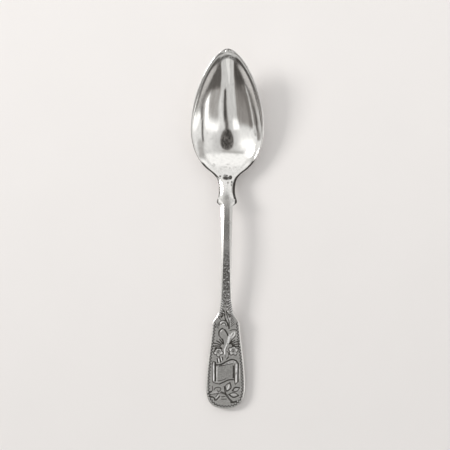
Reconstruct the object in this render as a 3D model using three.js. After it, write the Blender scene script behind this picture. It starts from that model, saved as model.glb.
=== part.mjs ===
// Christening spoon in the fiddle pattern: a dished silver bowl, lap-soldered by its neck onto a
// forged stem. Millimetres, +Z up, +Y from the end of the handle towards the tip of the bowl.
// The origin is on the table, under the middle of the spoon's length.
import * as THREE from 'three';
import { mergeVertices } from 'three/addons/utils/BufferGeometryUtils.js';

const { clamp, lerp, smoothstep } = THREE.MathUtils;

// Lengths along the spoon, from the tip to the end
const noseLength = 34.6; // tip to the widest line of the bowl
const heelLength = 20.6; // widest line to where the round heel would close
const neckLength = 6.1; // that point to the narrowest line of the neck
const lapLength = 4; // narrowest line to the end of the bowl's tab
const shoulderLength = 3.9; // end of the tab to the top of the shank
const shankLength = 40.6; // top of the shank to where it starts to spread
const rootLength = 11.6; // spread of the shank, down to the corners of the fiddle
const fiddleLength = 27.9; // corners to the widest line of the fiddle
const endLength = 10.1; // widest line to the end of the handle

// Widths across the spoon
const bowlWidth = 32.5;
const neckWidth = 7.1;
const lapWidth = 8.5; // across the end of the tab
const shoulderWidth = 9;
const shoulderPoint = 0.2; // reach of the pointed shoulder's curve past that width
const shankTopWidth = 5.1;
const shankWaistWidth = 4.1; // pull of the curve at the slimmest stretch
const shankFootWidth = 5;
const cornerWidth = 12.3; // across the corners of the fiddle
const fiddleWidth = 17.5;
const neckFacetWidth = 3.6; // flat top of the stem at the end of the tab
const shankFacetWidth = 2.6; // flat top of the shank under the shoulders
const footFacetWidth = 3.6; // flat top of the shank where it starts to spread
const edgeBevelWidth = 0.5; // soft edge round the fiddle's face
const dropWidth = 8;

// Heights of the top face above the table
const tipHeight = 17.8;
const rimWideHeight = 7.9; // rim at the widest line of the bowl
const rimLowHeight = 5.9; // lowest point of the rim, over the heel
const floorHeight = 1; // floor of the hollow at the foot of the heel
const heelHeight = 5.8; // middle of the neck where the hollow begins
const lapHeight = 8.4; // end of the tab
const crestHeight = 9.4; // highest point of the stem
const cornerHeight = 5.5; // corners of the fiddle

// Thicknesses and fits
const wall = 1; // sheet of the bowl
const rimEdge = 0.7; // height of the bowl's outer edge
const rimLand = 0.7; // width of the flat on top of the rim
const noseLand = 1.8; // the same at the tip
const lapGap = 0.3; // room for the solder between tab and tongue
const solderThickness = 0.12;
const solderInset = 0.3; // the solder stops short of the tongue's outline
const tongueThickness = 1.3;
const dropEndThickness = 0.5;
const dropEdge = 0.3; // thickness left along the sides of the drop
const shankThickness = 2.6;
const fiddleThickness = 2.2;
const endThickness = 2.5;
const neckCrown = 0.5; // the neck's middle stands this much over its edges
const shankBevel = 0.7; // drop of the bevels beside the flat top
const edgeBevel = 0.25; // drop of the soft edge round the fiddle
const shankBack = 0.8; // rounding of the shank's back
const fiddleBack = 0.35; // rounding of the fiddle's back
const sideBulge = 0.06; // swell of the stem's sides
const endWear = 0.2; // metal worn flat under the end of the handle

// Places along the spoon
const floorBehind = 8; // foot of the heel, behind the widest line
const rimLowBehind = 8.7; // lowest point of the rim, behind the widest line
const crestAlong = 11.5; // highest point of the stem, past the end of the tab
const tipTaper = 7; // the sheet thins to the rim over this length at the tip
const dropLength = 11.5; // narrowest line of the neck to the end of the drop
const dropRound = 6; // length of the drop's rounded end

// Shares that shape the curves
const heelTurn = Math.PI / 3; // how far the heel turns as an ellipse before the throat
const throatPull = 0.22; // share of the heel's length over which the throat leaves it
const throatHold = 0.5; // share of the throat that runs in line with the neck
const shoulderCut = 0.2; // share of the shoulder's step that its point takes
const heelDip = 0.7; // share of the heel's fall that lies in its first half
const dishRound = 0.72; // 1 is a plain parabola across the hollow, less has steeper sides
const tipDishRound = 1.1; // the same at the tip
const noseRound = 0.5; // the same along the hollow, from the foot of the heel to the tip
const leastFlat = 0.4; // least and most share of a face between its bevels
const mostFlat = 0.85;
const backPower = 2.5; // roundness of the stem's back

// Y of each place, with the middle of the spoon's length at 0
const overallLength = noseLength + heelLength + neckLength + lapLength + shoulderLength
  + shankLength + rootLength + fiddleLength + endLength;
const yTip = overallLength / 2;
const yWide = yTip - noseLength;
const yClose = yWide - heelLength;
const yNeck = yClose - neckLength;
const yLap = yNeck - lapLength;
const yShank = yLap - shoulderLength;
const yFoot = yShank - shankLength;
const yCorner = yFoot - rootLength;
const yFiddle = yCorner - fiddleLength;
const yEnd = yFiddle - endLength;
const yFloor = yWide - floorBehind;
const yRimLow = yWide - rimLowBehind;
const yCrest = yLap - crestAlong;
const yDrop = yNeck + dropLength;
const yHollow = yTip - noseLand; // the hollow stops at the land of the rim

// A smooth line through a few knots [y, height], with no sudden change of curvature: the
// natural cubic spline, solved for its second derivatives
function smoothLine(knots) {
  const sorted = [...knots].sort((a, b) => a[0] - b[0]);
  const ys = sorted.map((knot) => knot[0]);
  const values = sorted.map((knot) => knot[1]);
  const last = ys.length - 1;
  const bend = new Array(last + 1).fill(0);
  const share = new Array(last + 1).fill(0);
  for (let i = 1; i < last; i += 1) {
    const before = ys[i] - ys[i - 1];
    const after = ys[i + 1] - ys[i];
    const turn = 6 * ((values[i + 1] - values[i]) / after - (values[i] - values[i - 1]) / before);
    const pivot = 2 * (before + after) - before * share[i - 1];
    share[i] = after / pivot;
    bend[i] = (turn - before * bend[i - 1]) / pivot;
  }
  for (let i = last - 1; i > 0; i -= 1) {
    bend[i] -= share[i] * bend[i + 1];
  }
  return (y) => {
    let i = 0;
    while (i < last - 1 && y > ys[i + 1]) {
      i += 1;
    }
    const span = ys[i + 1] - ys[i];
    const up = (y - ys[i]) / span;
    const down = 1 - up;
    const sag = (down ** 3 - down) * bend[i] + (up ** 3 - up) * bend[i + 1];
    return down * values[i] + up * values[i + 1] + sag * span ** 2 / 6;
  };
}

// Outline seen from above, as points (half width, y) down the +X side. A stretch is a curve
// between two points, whose two handles lie at shares of its change in width and of its length.
const at = (x, y) => new THREE.Vector2(x, y);

function stretch(from, to, across, along) {
  const handles = [0, 1].map((i) => at(lerp(from.x, to.x, across[i]), lerp(from.y, to.y, along[i])));
  return new THREE.CubicBezierCurve(from, ...handles, to);
}

function sampled(curve, steps, from = 0, to = 1) {
  return Array.from({ length: steps + 1 }, (_, i) => curve.getPoint(lerp(from, to, i / steps)));
}

const neckPoint = at(neckWidth / 2, yNeck);
const lapPoint = at(lapWidth / 2, yLap);
const shankPoint = at(shankTopWidth / 2, yShank);
const footPoint = at(shankFootWidth / 2, yFoot);
const cornerPoint = at(cornerWidth / 2, yCorner);
const fiddlePoint = at(fiddleWidth / 2, yFiddle);
const widePoint = at(bowlWidth / 2, yWide);
const spreadPoint = at(lerp(footPoint.x, cornerPoint.x, 0.53), lerp(yFoot, yCorner, 0.7));
const notchPoint = at(lerp(shoulderWidth / 2, shankPoint.x, shoulderCut), lerp(yLap, yShank, 0.5));

const nose = stretch(at(0, yTip), widePoint, [0.37, 1], [0, 0.48]);
const heel = new THREE.EllipseCurve(0, yWide, widePoint.x, heelLength, 0, -heelTurn, true);
const heelEnd = heel.getPoint(1);
const throat = new THREE.CubicBezierCurve(
  heelEnd,
  heel.getTangent(1).multiplyScalar(throatPull * heelLength).add(heelEnd),
  at(neckPoint.x, lerp(yNeck, heelEnd.y, throatHold)),
  neckPoint,
);
const flare = stretch(neckPoint, lapPoint, [0, 0.5], [0.45, 0.75]);
const shoulder = new THREE.CubicBezierCurve(
  lapPoint,
  at(shoulderWidth / 2, lerp(yLap, yShank, 0.2)),
  at(shoulderWidth / 2 + shoulderPoint, lerp(yLap, yShank, 0.36)),
  notchPoint,
);
const notch = stretch(notchPoint, shankPoint, [0.44, 1], [0.32, 0.52]);
const shank = new THREE.CubicBezierCurve(
  shankPoint,
  at(lerp(shankTopWidth, shankWaistWidth, 0.6) / 2, lerp(yShank, yFoot, 0.3)),
  at(shankWaistWidth / 2, lerp(yShank, yFoot, 0.68)),
  footPoint,
);
const root = stretch(footPoint, spreadPoint, [0.13, 0.2], [0.5, 0.74]);
const corner = stretch(spreadPoint, cornerPoint, [0.53, 0.89], [0.33, 0.53]);
const side = stretch(cornerPoint, fiddlePoint, [0.22, 1], [0.3, 0.66]);
const end = stretch(fiddlePoint, at(0, yEnd), [0, 0.41], [0.79, 1]);
const dropSide = stretch(neckPoint, at(dropWidth / 2, yDrop - dropRound), [0, 1], [0.4, 0.6]);
const dropEnd = new THREE.EllipseCurve(0, yDrop - dropRound, dropWidth / 2, dropRound, 0, Math.PI / 2);

const poleShare = 0.025; // the sections stop just short of the pole of the tip and of the end
const tipShare = 0.18; // the blunt tip takes closer sections up to here
const bowlOutline = [
  ...sampled(nose, 5, poleShare, tipShare),
  ...sampled(nose, 16, tipShare, 1).slice(1),
  ...sampled(heel, 12).slice(1),
  ...sampled(throat, 10).slice(1),
  ...sampled(flare, 4).slice(1),
];
const stemOutline = [
  lapPoint,
  ...sampled(shoulder, 6).slice(1),
  ...sampled(notch, 5).slice(1),
  ...sampled(shank, 9).slice(1),
  ...sampled(root, 6).slice(1),
  ...sampled(corner, 6).slice(1),
  ...sampled(side, 7).slice(1),
  ...sampled(end, 12, 0, 1 - poleShare).slice(1),
];
const tongueOutline = [
  ...sampled(dropEnd, 9, 1 - poleShare, 0),
  ...sampled(dropSide, 5, 1, 0).slice(1),
  ...sampled(flare, 4).slice(1),
];

// Half width of the bowl and its neck at any y, between the sampled points
function bowlHalfAt(y) {
  const i = Math.max(1, bowlOutline.findIndex((point) => point.y <= y));
  const before = bowlOutline[i - 1];
  const after = bowlOutline[i];
  return lerp(before.x, after.x, (before.y - y) / (before.y - after.y));
}

// Side view: the bowl's rim, and the middle of the top face all along the spoon
const bend = (share, roundness) => roundness * share ** 2 + (1 - roundness) * share ** 4;
const dish = (share, y) => bend(share, lerp(dishRound, tipDishRound, smoothstep(y, yWide, yTip)));

const rimLine = smoothLine([
  [yLap, lapHeight - neckCrown],
  [yClose, heelHeight - neckCrown / 4],
  [yRimLow, rimLowHeight],
  [yWide, rimWideHeight],
  [yTip, tipHeight],
]);
const middleLine = smoothLine([
  [yEnd, endThickness],
  [yCorner, cornerHeight],
  [yCrest, crestHeight],
  [yLap, lapHeight],
  [yClose, heelHeight],
  [lerp(yClose, yFloor, 0.5), lerp(heelHeight, floorHeight, heelDip)],
  [yFloor, floorHeight],
  ...[0.3, 0.6, 0.85, 1].map((share) => [
    lerp(yFloor, yHollow, share),
    lerp(floorHeight, rimLine(yHollow), bend(share, noseRound)),
  ]),
]);

// The bowl's sheet: its hollow, its back and the land round its rim
const bowlMiddle = (y) => (y < yHollow ? middleLine(y) : rimLine(y));
const landAt = (y) => lerp(rimLand, noseLand, smoothstep(y, yWide, yTip));
const hollowHalf = (half, y) => Math.max(half - landAt(y), leastFlat * half);

function sheetAt(y) {
  const step = 0.1;
  const slope = (bowlMiddle(y) - bowlMiddle(y - step)) / step;
  return lerp(rimEdge, wall * Math.hypot(1, slope), smoothstep(yTip - y, 0, tipTaper));
}

function bowlTop(x, y, half) {
  const share = Math.min(Math.abs(x) / hollowHalf(half, y), 1);
  return lerp(bowlMiddle(y), rimLine(y), dish(share, y));
}

function bowlBack(x, y, half) {
  const backHalf = Math.min(hollowHalf(half, y) + rimLand, half);
  const share = Math.min(Math.abs(x) / backHalf, 1);
  return lerp(bowlMiddle(y) - sheetAt(y), rimLine(y) - rimEdge, dish(share, y));
}

// Top of the stem's tongue, under the bowl's sheet and the solder
const tongueTop = (x, y) => bowlBack(x, y, bowlHalfAt(y)) - lapGap;

// The stem's section: a flat top between bevels, and a rounded back
const spread = (y) => smoothstep(-y, -yFoot, -yCorner); // 0 on the shank, 1 on the fiddle
const gather = (y) => smoothstep(y, yShank, yLap); // 0 on the shank, 1 at the end of the tab
const lapThickness = lapHeight - tongueTop(0, yLap) + tongueThickness;

function facetHalf(y, half) {
  const onShank = lerp(shankFacetWidth, footFacetWidth, smoothstep(-y, -yShank, -yFoot));
  const slim = lerp(onShank, neckFacetWidth, gather(y)) / 2;
  return clamp(lerp(slim, half - edgeBevelWidth, spread(y)), leastFlat * half, mostFlat * half);
}

function bevelDrop(y) {
  return lerp(lerp(shankBevel, neckCrown, gather(y)), edgeBevel, spread(y));
}

function stemThickness(y) {
  const slim = lerp(shankThickness, lapThickness, gather(y));
  const broad = lerp(fiddleThickness, endThickness + endWear, smoothstep(-y, -yFiddle, -yEnd));
  return lerp(slim, broad, spread(y));
}

const backRise = (y) => lerp(shankBack, fiddleBack, spread(y));
const backCurve = (share) => Math.abs(share) ** backPower;

// Closed body lofted through sections. A section has as many points along its top as along its
// back, from -X to +X, and the first and last sections are closed flat.
function loft(sections) {
  const rings = sections.map(({ top, back }) => [...top, ...back.toReversed()]);
  const sides = rings[0].length;
  const triangles = [];
  for (let r = 0; r + 1 < rings.length; r += 1) {
    for (let s = 0; s < sides; s += 1) {
      const a = r * sides + s;
      const b = r * sides + ((s + 1) % sides);
      triangles.push(a, b + sides, b, a, a + sides, b + sides);
    }
  }
  const last = (rings.length - 1) * sides;
  for (let a = 0, b = sides - 1; a + 1 < b; a += 1, b -= 1) {
    triangles.push(a, a + 1, b, a + 1, b - 1, b);
    triangles.push(last + a, last + b, last + a + 1, last + a + 1, last + b, last + b - 1);
  }
  const loose = new THREE.BufferGeometry();
  const numbers = rings.flat().flatMap((point) => point.toArray());
  loose.setAttribute('position', new THREE.Float32BufferAttribute(numbers, 3));
  loose.setIndex(triangles);
  const merged = mergeVertices(loose, 1e-3);
  const corners = [...merged.getIndex().array];
  const kept = corners.filter((_, i) => {
    const [a, b, c] = corners.slice(i - (i % 3), i - (i % 3) + 3);
    return a !== b && b !== c && c !== a;
  });
  merged.setIndex(kept);
  merged.computeVertexNormals();
  return merged;
}

// Shares of the half width at which a face is sampled, from -1 to 1
const across = (count) => Array.from({ length: count }, (_, i) => 2 * i / (count - 1) - 1);
const acrossFace = (flat, half, count) => [-half, ...across(count).map((share) => share * flat), half];

function bowlSection({ x: half, y }) {
  const xs = acrossFace(hollowHalf(half, y), half, 17);
  return {
    top: xs.map((x) => new THREE.Vector3(x, y, bowlTop(x, y, half))),
    back: xs.map((x) => new THREE.Vector3(x, y, Math.max(bowlBack(x, y, half), 0))),
  };
}

// A section of the stem. The point in the middle of each side bulges a little, and at the end
// of the tab it is where the tongue begins.
function stemSection({ x: half, y }) {
  const facet = facetHalf(y, half);
  const middle = middleLine(y);
  const edge = middle - bevelDrop(y);
  const low = middle - stemThickness(y);
  const atLap = y === yLap;
  const sideX = atLap ? half : half + sideBulge;
  const sideZ = atLap ? tongueTop(half, y) : (edge + low + backRise(y)) / 2;
  const sides = [-sideX, sideX].map((x) => new THREE.Vector3(x, y, sideZ));
  const xs = acrossFace(facet, half, 9);
  const top = xs.map((x) => new THREE.Vector3(x, y, Math.abs(x) > facet ? edge : middle));
  const back = xs.map((x) => new THREE.Vector3(x, y, Math.max(low + backRise(y) * backCurve(x / half), 0)));
  return { top: [sides[0], ...top, sides[1]], back: [sides[0], ...back, sides[1]] };
}

// A section of the tongue under the tab, which ends as the drop on the bowl's back
function tongueSection({ x: half, y }) {
  const underTab = 1 - smoothstep(y, yLap, yNeck);
  const thick = lerp(tongueThickness, dropEndThickness, smoothstep(y, yNeck, yDrop));
  const rise = lerp(backRise(y), thick - dropEdge, smoothstep(y, yLap, yDrop));
  const low = (x) => lerp(tongueTop(x, y), tongueTop(0, y), underTab) - thick;
  const xs = acrossFace(lerp(mostFlat * half, facetHalf(y, half), underTab), half, 9);
  const top = xs.map((x) => new THREE.Vector3(x, y, tongueTop(x, y)));
  const back = xs.map((x) => new THREE.Vector3(x, y, low(x) + rise * backCurve(x / half)));
  const sides = [top.at(0), top.at(-1)];
  return { top: [sides[0], ...top, sides[1]], back: [sides[0], ...back, sides[1]] };
}

// A section of the leaf of solder, clear of the tab above and the tongue below
function solderSection({ x: tongueHalf, y }) {
  const clear = (lapGap - solderThickness) / 2;
  const xs = across(9).map((share) => share * (tongueHalf - solderInset));
  const leaf = (height) => xs.map((x) => new THREE.Vector3(x, y, tongueTop(x, y) + height));
  return { top: leaf(clear + solderThickness), back: leaf(clear) };
}

const solderOutline = tongueOutline.filter(({ x, y }) => y > yLap + solderInset && x > 2 * solderInset);

const polishedSilver = new THREE.MeshStandardMaterial({ color: 0xe6e4df, roughness: 0.12, metalness: 1 });
const engravedSilver = new THREE.MeshStandardMaterial({ color: 0xcfcdc8, roughness: 0.25, metalness: 1 });
const silverSolder = new THREE.MeshStandardMaterial({ color: 0xd8d2c0, roughness: 0.35, metalness: 1 });

const spoon = new THREE.Group();
for (const [name, sections, material] of [
  ['bowl', bowlOutline.map(bowlSection), polishedSilver],
  ['stem', [...tongueOutline.map(tongueSection), ...stemOutline.map(stemSection)], engravedSilver],
  ['solder_sheet', solderOutline.map(solderSection), silverSolder],
]) {
  const mesh = new THREE.Mesh(loft(sections), material);
  mesh.name = name;
  spoon.add(mesh);
}

export default spoon;
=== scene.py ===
import math

import bpy
import numpy as np
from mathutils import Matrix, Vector


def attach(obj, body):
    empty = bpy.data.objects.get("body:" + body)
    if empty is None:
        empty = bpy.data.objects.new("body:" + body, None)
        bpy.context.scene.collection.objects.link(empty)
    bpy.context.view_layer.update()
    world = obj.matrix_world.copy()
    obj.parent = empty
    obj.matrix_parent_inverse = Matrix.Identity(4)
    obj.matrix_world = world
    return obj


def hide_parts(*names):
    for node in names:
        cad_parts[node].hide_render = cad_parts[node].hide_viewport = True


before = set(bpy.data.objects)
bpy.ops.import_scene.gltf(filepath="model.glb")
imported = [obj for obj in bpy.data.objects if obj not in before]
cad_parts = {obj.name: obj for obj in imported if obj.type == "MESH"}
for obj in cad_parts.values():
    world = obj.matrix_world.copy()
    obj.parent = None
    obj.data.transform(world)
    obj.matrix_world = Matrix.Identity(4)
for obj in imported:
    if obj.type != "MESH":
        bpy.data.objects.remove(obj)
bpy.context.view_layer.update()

bl_info = {
    "name": "Christening Spoon",
    "version": (1, 0, 0),
    "blender": (4, 5, 0),
    "location": "View3D > Sidebar > Spoon",
    "description": "Silver spoon in the fiddle pattern, with a dished bowl and an engraved handle",
    "category": "Add Mesh",
}

MM = 0.001


def length(name, description, millimetres):
    """A size that a user may change, kept in metres."""
    return bpy.props.FloatProperty(
        name=name, description=description, default=millimetres * MM, unit="LENGTH", precision=5)


def factor(name, description, value):
    """A share from 0 to 1 that a user may change."""
    return bpy.props.FloatProperty(
        name=name, description=description, default=value, min=0.0, max=1.0, subtype="FACTOR")


def angle(name, description, degrees):
    """A turn that a user may change, kept in radians."""
    return bpy.props.FloatProperty(
        name=name, description=description, default=math.radians(degrees), subtype="ANGLE")


def colour(name, description, value):
    """A colour that a user may change."""
    return bpy.props.FloatVectorProperty(
        name=name, description=description, default=value, min=0.0, max=1.0, subtype="COLOR")


class SpoonSizes(bpy.types.PropertyGroup):
    """Sizes of the spoon: those of its solids, and last a few that only the finished metal has."""

    nose_length: length("Nose Length", "Tip to the widest line of the bowl", 34.6)
    heel_length: length("Heel Length", "Widest line to where the round heel would close", 20.6)
    neck_length: length("Neck Length", "End of the heel to the narrowest line of the neck", 6.1)
    lap_length: length("Lap Length", "Narrowest line to the end of the bowl's tab", 4.0)
    shoulder_length: length("Shoulder Length", "End of the tab to the top of the shank", 3.9)
    shank_length: length("Shank Length", "Top of the shank to where it spreads", 40.6)
    root_length: length("Root Length", "Spread of the shank down to the fiddle's corners", 11.6)
    fiddle_length: length("Fiddle Length", "Corners to the widest line of the fiddle", 27.9)
    end_length: length("End Length", "Widest line to the end of the handle", 10.1)

    bowl_width: length("Bowl Width", "Width across the widest line of the bowl", 32.5)
    neck_width: length("Neck Width", "Width across the narrowest line of the neck", 7.1)
    lap_width: length("Lap Width", "Width across the end of the bowl's tab", 8.5)
    shoulder_width: length("Shoulder Width", "Width across the two pointed shoulders", 9.0)
    shoulder_point: length("Shoulder Point", "Reach of the pointed shoulder's curve", 0.2)
    shank_top_width: length("Shank Top Width", "Width of the shank under the shoulders", 5.1)
    shank_waist_width: length("Shank Waist Width", "Pull of the curve at the slimmest stretch", 4.1)
    shank_foot_width: length("Shank Foot Width", "Width of the shank where it spreads", 5.0)
    corner_width: length("Corner Width", "Width across the fiddle's corners", 12.3)
    fiddle_width: length("Fiddle Width", "Width across the fiddle's widest line", 17.5)
    shank_facet_width: length("Shank Facet Width", "Width of the shank's flat top, at the shoulders", 2.6)
    foot_facet_width: length("Foot Facet Width", "Width of the shank's flat top, where it spreads", 3.6)
    neck_facet_width: length("Neck Facet Width", "Width of the flat top at the tab", 3.6)
    edge_bevel_width: length("Edge Bevel Width", "Width of the soft edge round the fiddle", 0.5)
    drop_width: length("Drop Width", "Width of the drop on the bowl's back", 8.0)

    tip_height: length("Tip Height", "Rim at the tip of the bowl", 17.8)
    rim_wide_height: length("Rim Height", "Rim at the widest line of the bowl", 7.9)
    rim_low_height: length("Low Rim Height", "Lowest point of the rim", 5.9)
    floor_height: length("Floor Height", "Floor of the hollow at the foot of the heel", 1.0)
    heel_height: length("Heel Height", "Middle of the neck where the hollow begins", 5.8)
    lap_height: length("Lap Height", "Top of the tab's end", 8.4)
    crest_height: length("Crest Height", "Highest point of the stem", 9.4)
    corner_height: length("Corner Height", "Top of the fiddle's corners", 5.5)

    wall: length("Wall", "Thickness of the bowl's sheet", 1.0)
    rim_edge: length("Rim Edge", "Height of the bowl's outer edge", 0.7)
    rim_land: length("Rim Land", "Width of the worn top of the rim", 0.7)
    nose_land: length("Nose Land", "Width of the worn top of the rim at the tip", 1.8)
    lap_gap: length("Lap Gap", "Room for the solder between tab and tongue", 0.3)
    seam: length("Seam", "Hairline between the tab's end and the stem", 0.08)
    tongue_thickness: length("Tongue Thickness", "Thickness of the tongue under the tab", 1.3)
    drop_end_thickness: length("Drop End Thickness", "Thickness of the drop near its end", 0.5)
    drop_edge: length("Drop Edge", "Thickness left along the drop's sides", 0.3)
    shank_thickness: length("Shank Thickness", "Thickness of the shank", 2.6)
    fiddle_thickness: length("Fiddle Thickness", "Thickness of the fiddle", 2.2)
    end_thickness: length("End Thickness", "Thickness at the end of the handle", 2.5)
    neck_crown: length("Neck Crown", "Middle of the neck over its edges", 0.5)
    shank_bevel: length("Shank Bevel", "Drop of the bevels beside the flat top", 0.7)
    edge_bevel: length("Edge Bevel", "Drop of the soft edge round the fiddle", 0.25)
    shank_back: length("Shank Back", "Rounding of the shank's back", 0.8)
    fiddle_back: length("Fiddle Back", "Rounding of the fiddle's back", 0.35)
    side_bulge: length("Side Bulge", "Swell of the stem's sides", 0.06)
    end_wear: length("End Wear", "Metal worn flat under the end of the handle", 0.2)

    floor_behind: length("Floor Behind", "Foot of the heel, behind the widest line", 8.0)
    rim_low_behind: length("Low Rim Behind", "Lowest rim, behind the widest line", 8.7)
    crest_along: length("Crest Along", "Highest point of the stem, past the tab", 11.5)
    tip_taper: length("Tip Taper", "Length over which the sheet thins at the tip", 7.0)
    drop_length: length("Drop Length", "Neck to the end of the drop", 11.5)
    drop_round: length("Drop Round", "Length of the drop's rounded end", 6.0)

    nose_wear: length("Nose Wear", "How much shallower use has made the hollow's nose", 0.7)
    rim_wear: length("Rim Wear", "Softness of the edge between the hollow and its rim", 1.0)
    flat_lead: length("Flat Lead", "Where the flat top begins to widen, above the spread", 9.0)
    flat_run: length("Flat Run", "Length over which the flat top widens", 12.0)


class EngravingSizes(bpy.types.PropertyGroup):
    """Sizes of the cuts in the handle's face."""

    line_width: length("Line Width", "Width of the main cuts", 0.55)
    line_depth: length("Line Depth", "Depth of the main cuts", 0.16)
    hair_width: length("Hair Width", "Width of the veins and shading cuts", 0.36)
    hair_depth: length("Hair Depth", "Depth of the veins and shading cuts", 0.09)
    bright_width: length("Bright Width", "Width of the bright cuts", 0.62)
    bright_depth: length("Bright Depth", "Depth of the bright cuts", 0.14)
    wriggle_width: length("Wriggle Width", "Width of the border's cuts", 0.54)
    wriggle_depth: length("Wriggle Depth", "Depth of the border's cuts", 0.1)
    wriggle_pitch: length("Wriggle Pitch", "Length of one zigzag of the border", 1.4)
    wriggle_swing: length("Wriggle Swing", "Reach of the zigzag to each side", 0.42)
    border_inset: length("Border Inset", "Border's distance from the fiddle's edge", 1.2)


class SilverFinish(bpy.types.PropertyGroup):
    """Colours and gloss of the metal."""

    silver: colour("Silver", "Clean polished silver", (0.93, 0.92, 0.9))
    worn_silver: colour("Worn Silver", "Silver of the handle, dulled by handling", (0.84, 0.83, 0.81))
    solder: colour("Solder", "Silver solder, a little yellower", (0.85, 0.82, 0.76))
    # The tarnish colour is also the colour of the painted shade and painted dark reflections on the bowl and
    # stem
    tarnish: colour("Tarnish", "Dark tarnish in cuts and corners", (0.07, 0.065, 0.06))
    bowl_roughness: factor("Bowl Roughness", "Roughness of the polished bowl", 0.1)
    stem_roughness: factor("Stem Roughness", "Roughness of the handle's face", 0.24)
    solder_roughness: factor("Solder Roughness", "Roughness of the solder", 0.35)
    bowl_dullness: factor("Bowl Dullness", "Blotches of thin tarnish on the bowl", 0.12)
    stem_dullness: factor("Stem Dullness", "Blotches of thin tarnish on the handle", 0.3)
    solder_dullness: factor("Solder Dullness", "Blotches of thin tarnish on the solder", 0.4)


class StageSettings(bpy.types.PropertyGroup):
    """Camera, floor and light."""

    camera_height: length("Camera Height", "Camera above the table", 500.0)
    view_width: length("View Width", "Width of the table that the picture shows", 203.0)
    view_x: length("View X", "Middle of the picture across the spoon", -0.75)
    view_y: length("View Y", "Middle of the picture along the spoon", 2.9)
    view_roll: angle("View Roll", "Turn of the camera about its axis", 0.4)
    table: colour("Table", "Pale table top", (0.885, 0.861, 0.853))
    window: colour("Window", "Tint of the window's light", (1.0, 0.98, 0.95))
    wall: colour("Wall", "Tint of the room", (1.0, 0.995, 0.98))
    shade: colour("Shade", "Tint of the room's dark parts", (1.0, 0.93, 0.87))


def lerp(start, finish, share):
    """The value at a share of the way."""
    return start + (finish - start) * share


def smoothstep(value, low, high):
    """0 up to low, 1 from high on, and a smooth rise between them."""
    share = np.clip((value - low) / (high - low), 0.0, 1.0)
    return share * share * (3.0 - 2.0 * share)


def bezier(start, first, second, finish, steps):
    """Points along a cubic curve, one row each."""
    t = np.linspace(0.0, 1.0, steps + 1)[:, None]
    u = 1.0 - t
    corners = [np.asarray(point, float) for point in (start, first, second, finish)]
    weights = [u ** 3, 3.0 * u * u * t, 3.0 * u * t * t, t ** 3]
    return sum(weight * corner for weight, corner in zip(weights, corners))


def stretch(start, finish, across, along, steps):
    """A curve whose handles lie at shares of its change in width and of its length."""
    start, finish = np.asarray(start, float), np.asarray(finish, float)
    handles = [start + (finish - start) * (across[i], along[i]) for i in (0, 1)]
    return bezier(start, handles[0], handles[1], finish, steps)


def ellipse(centre, radii, begin, turn, steps):
    """Points along part of an ellipse."""
    angles = np.linspace(begin, begin + turn, steps + 1)
    return np.stack([centre[0] + radii[0] * np.cos(angles), centre[1] + radii[1] * np.sin(angles)], 1)


def join(*curves):
    """Curves that meet end to end, as one."""
    return np.concatenate([curves[0]] + [curve[1:] for curve in curves[1:]])


def smooth_line(knots):
    """A natural cubic spline through knots (y, height), as a function of y."""
    ys, heights = np.array(sorted(knots)).T
    spans = np.diff(ys)
    count = len(ys)
    matrix = np.eye(count)
    turns = np.zeros(count)
    slopes = np.diff(heights) / spans
    for i in range(1, count - 1):
        matrix[i, i - 1:i + 2] = spans[i - 1], 2.0 * (spans[i - 1] + spans[i]), spans[i]
        turns[i] = 6.0 * (slopes[i] - slopes[i - 1])
    bends = np.linalg.solve(matrix, turns)

    def height(y):
        i = np.clip(np.searchsorted(ys, y) - 1, 0, count - 2)
        up = (y - ys[i]) / spans[i]
        down = 1.0 - up
        sag = (down ** 3 - down) * bends[i] + (up ** 3 - up) * bends[i + 1]
        return down * heights[i] + up * heights[i + 1] + sag * spans[i] ** 2 / 6.0

    return height


# Stretches of the spoon from its tip to the end of its handle
STRETCHES = ("nose", "heel", "neck", "lap", "shoulder", "shank", "root", "fiddle", "end")

# Curves of the outline: their handles, as shares of the change in width and of the length, and their steps
CURVES = {
    "nose": ((0.37, 1.0), (0.0, 0.48), 96),
    "flare": ((0.0, 0.5), (0.45, 0.75), 12),
    "step": ((0.44, 1.0), (0.32, 0.52), 12),
    "root": ((0.13, 0.2), (0.5, 0.74), 40),
    "turn": ((0.53, 0.89), (0.33, 0.53), 40),
    "side": ((0.22, 1.0), (0.3, 0.66), 120),
    "end": ((0.0, 0.41), (0.79, 1.0), 200),
    "drop": ((0.0, 1.0), (0.4, 0.6), 16),
}
HEEL_STEPS = 44
THROAT_STEPS = 28
SHOULDER_STEPS = 14
SHANK_STEPS = 120
DROP_STEPS = 24

# What shapes the curves: an angle, and shares of a length, a width or a height
HEEL_TURN = math.pi / 3
THROAT_PULL = 0.22
SHOULDER_STOPS = (0.2, 0.36, 0.5)
SHOULDER_CUT = 0.2
SHANK_HANDLES = (0.3, 0.68)
SHANK_EASE = 0.6
SPREAD_WIDTH = 0.53
SPREAD_LENGTH = 0.7
NOSE_STOPS = (0.3, 0.6, 0.85, 1.0)
NOSE_WEAR_STOPS = (0.0, 0.5, 0.6)
HEEL_DIP = 0.7
DISH_ROUND = 0.72
TIP_DISH_ROUND = 1.1
NOSE_ROUND = 0.5
LEAST_FLAT = 0.4
MOST_FLAT = 0.85
BACK_POWER = 2.5
LIP_SHARE = 0.45
BEVEL_SLOPE = 0.51

# Small lengths that only the sums need
SLOPE_STEP = 0.1 * MM
TINY = 1e-9


def bend(share, roundness):
    """A dish from 0 in its middle to 1 at its rim; less roundness has steeper sides."""
    return roundness * share ** 2 + (1.0 - roundness) * share ** 4


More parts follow.
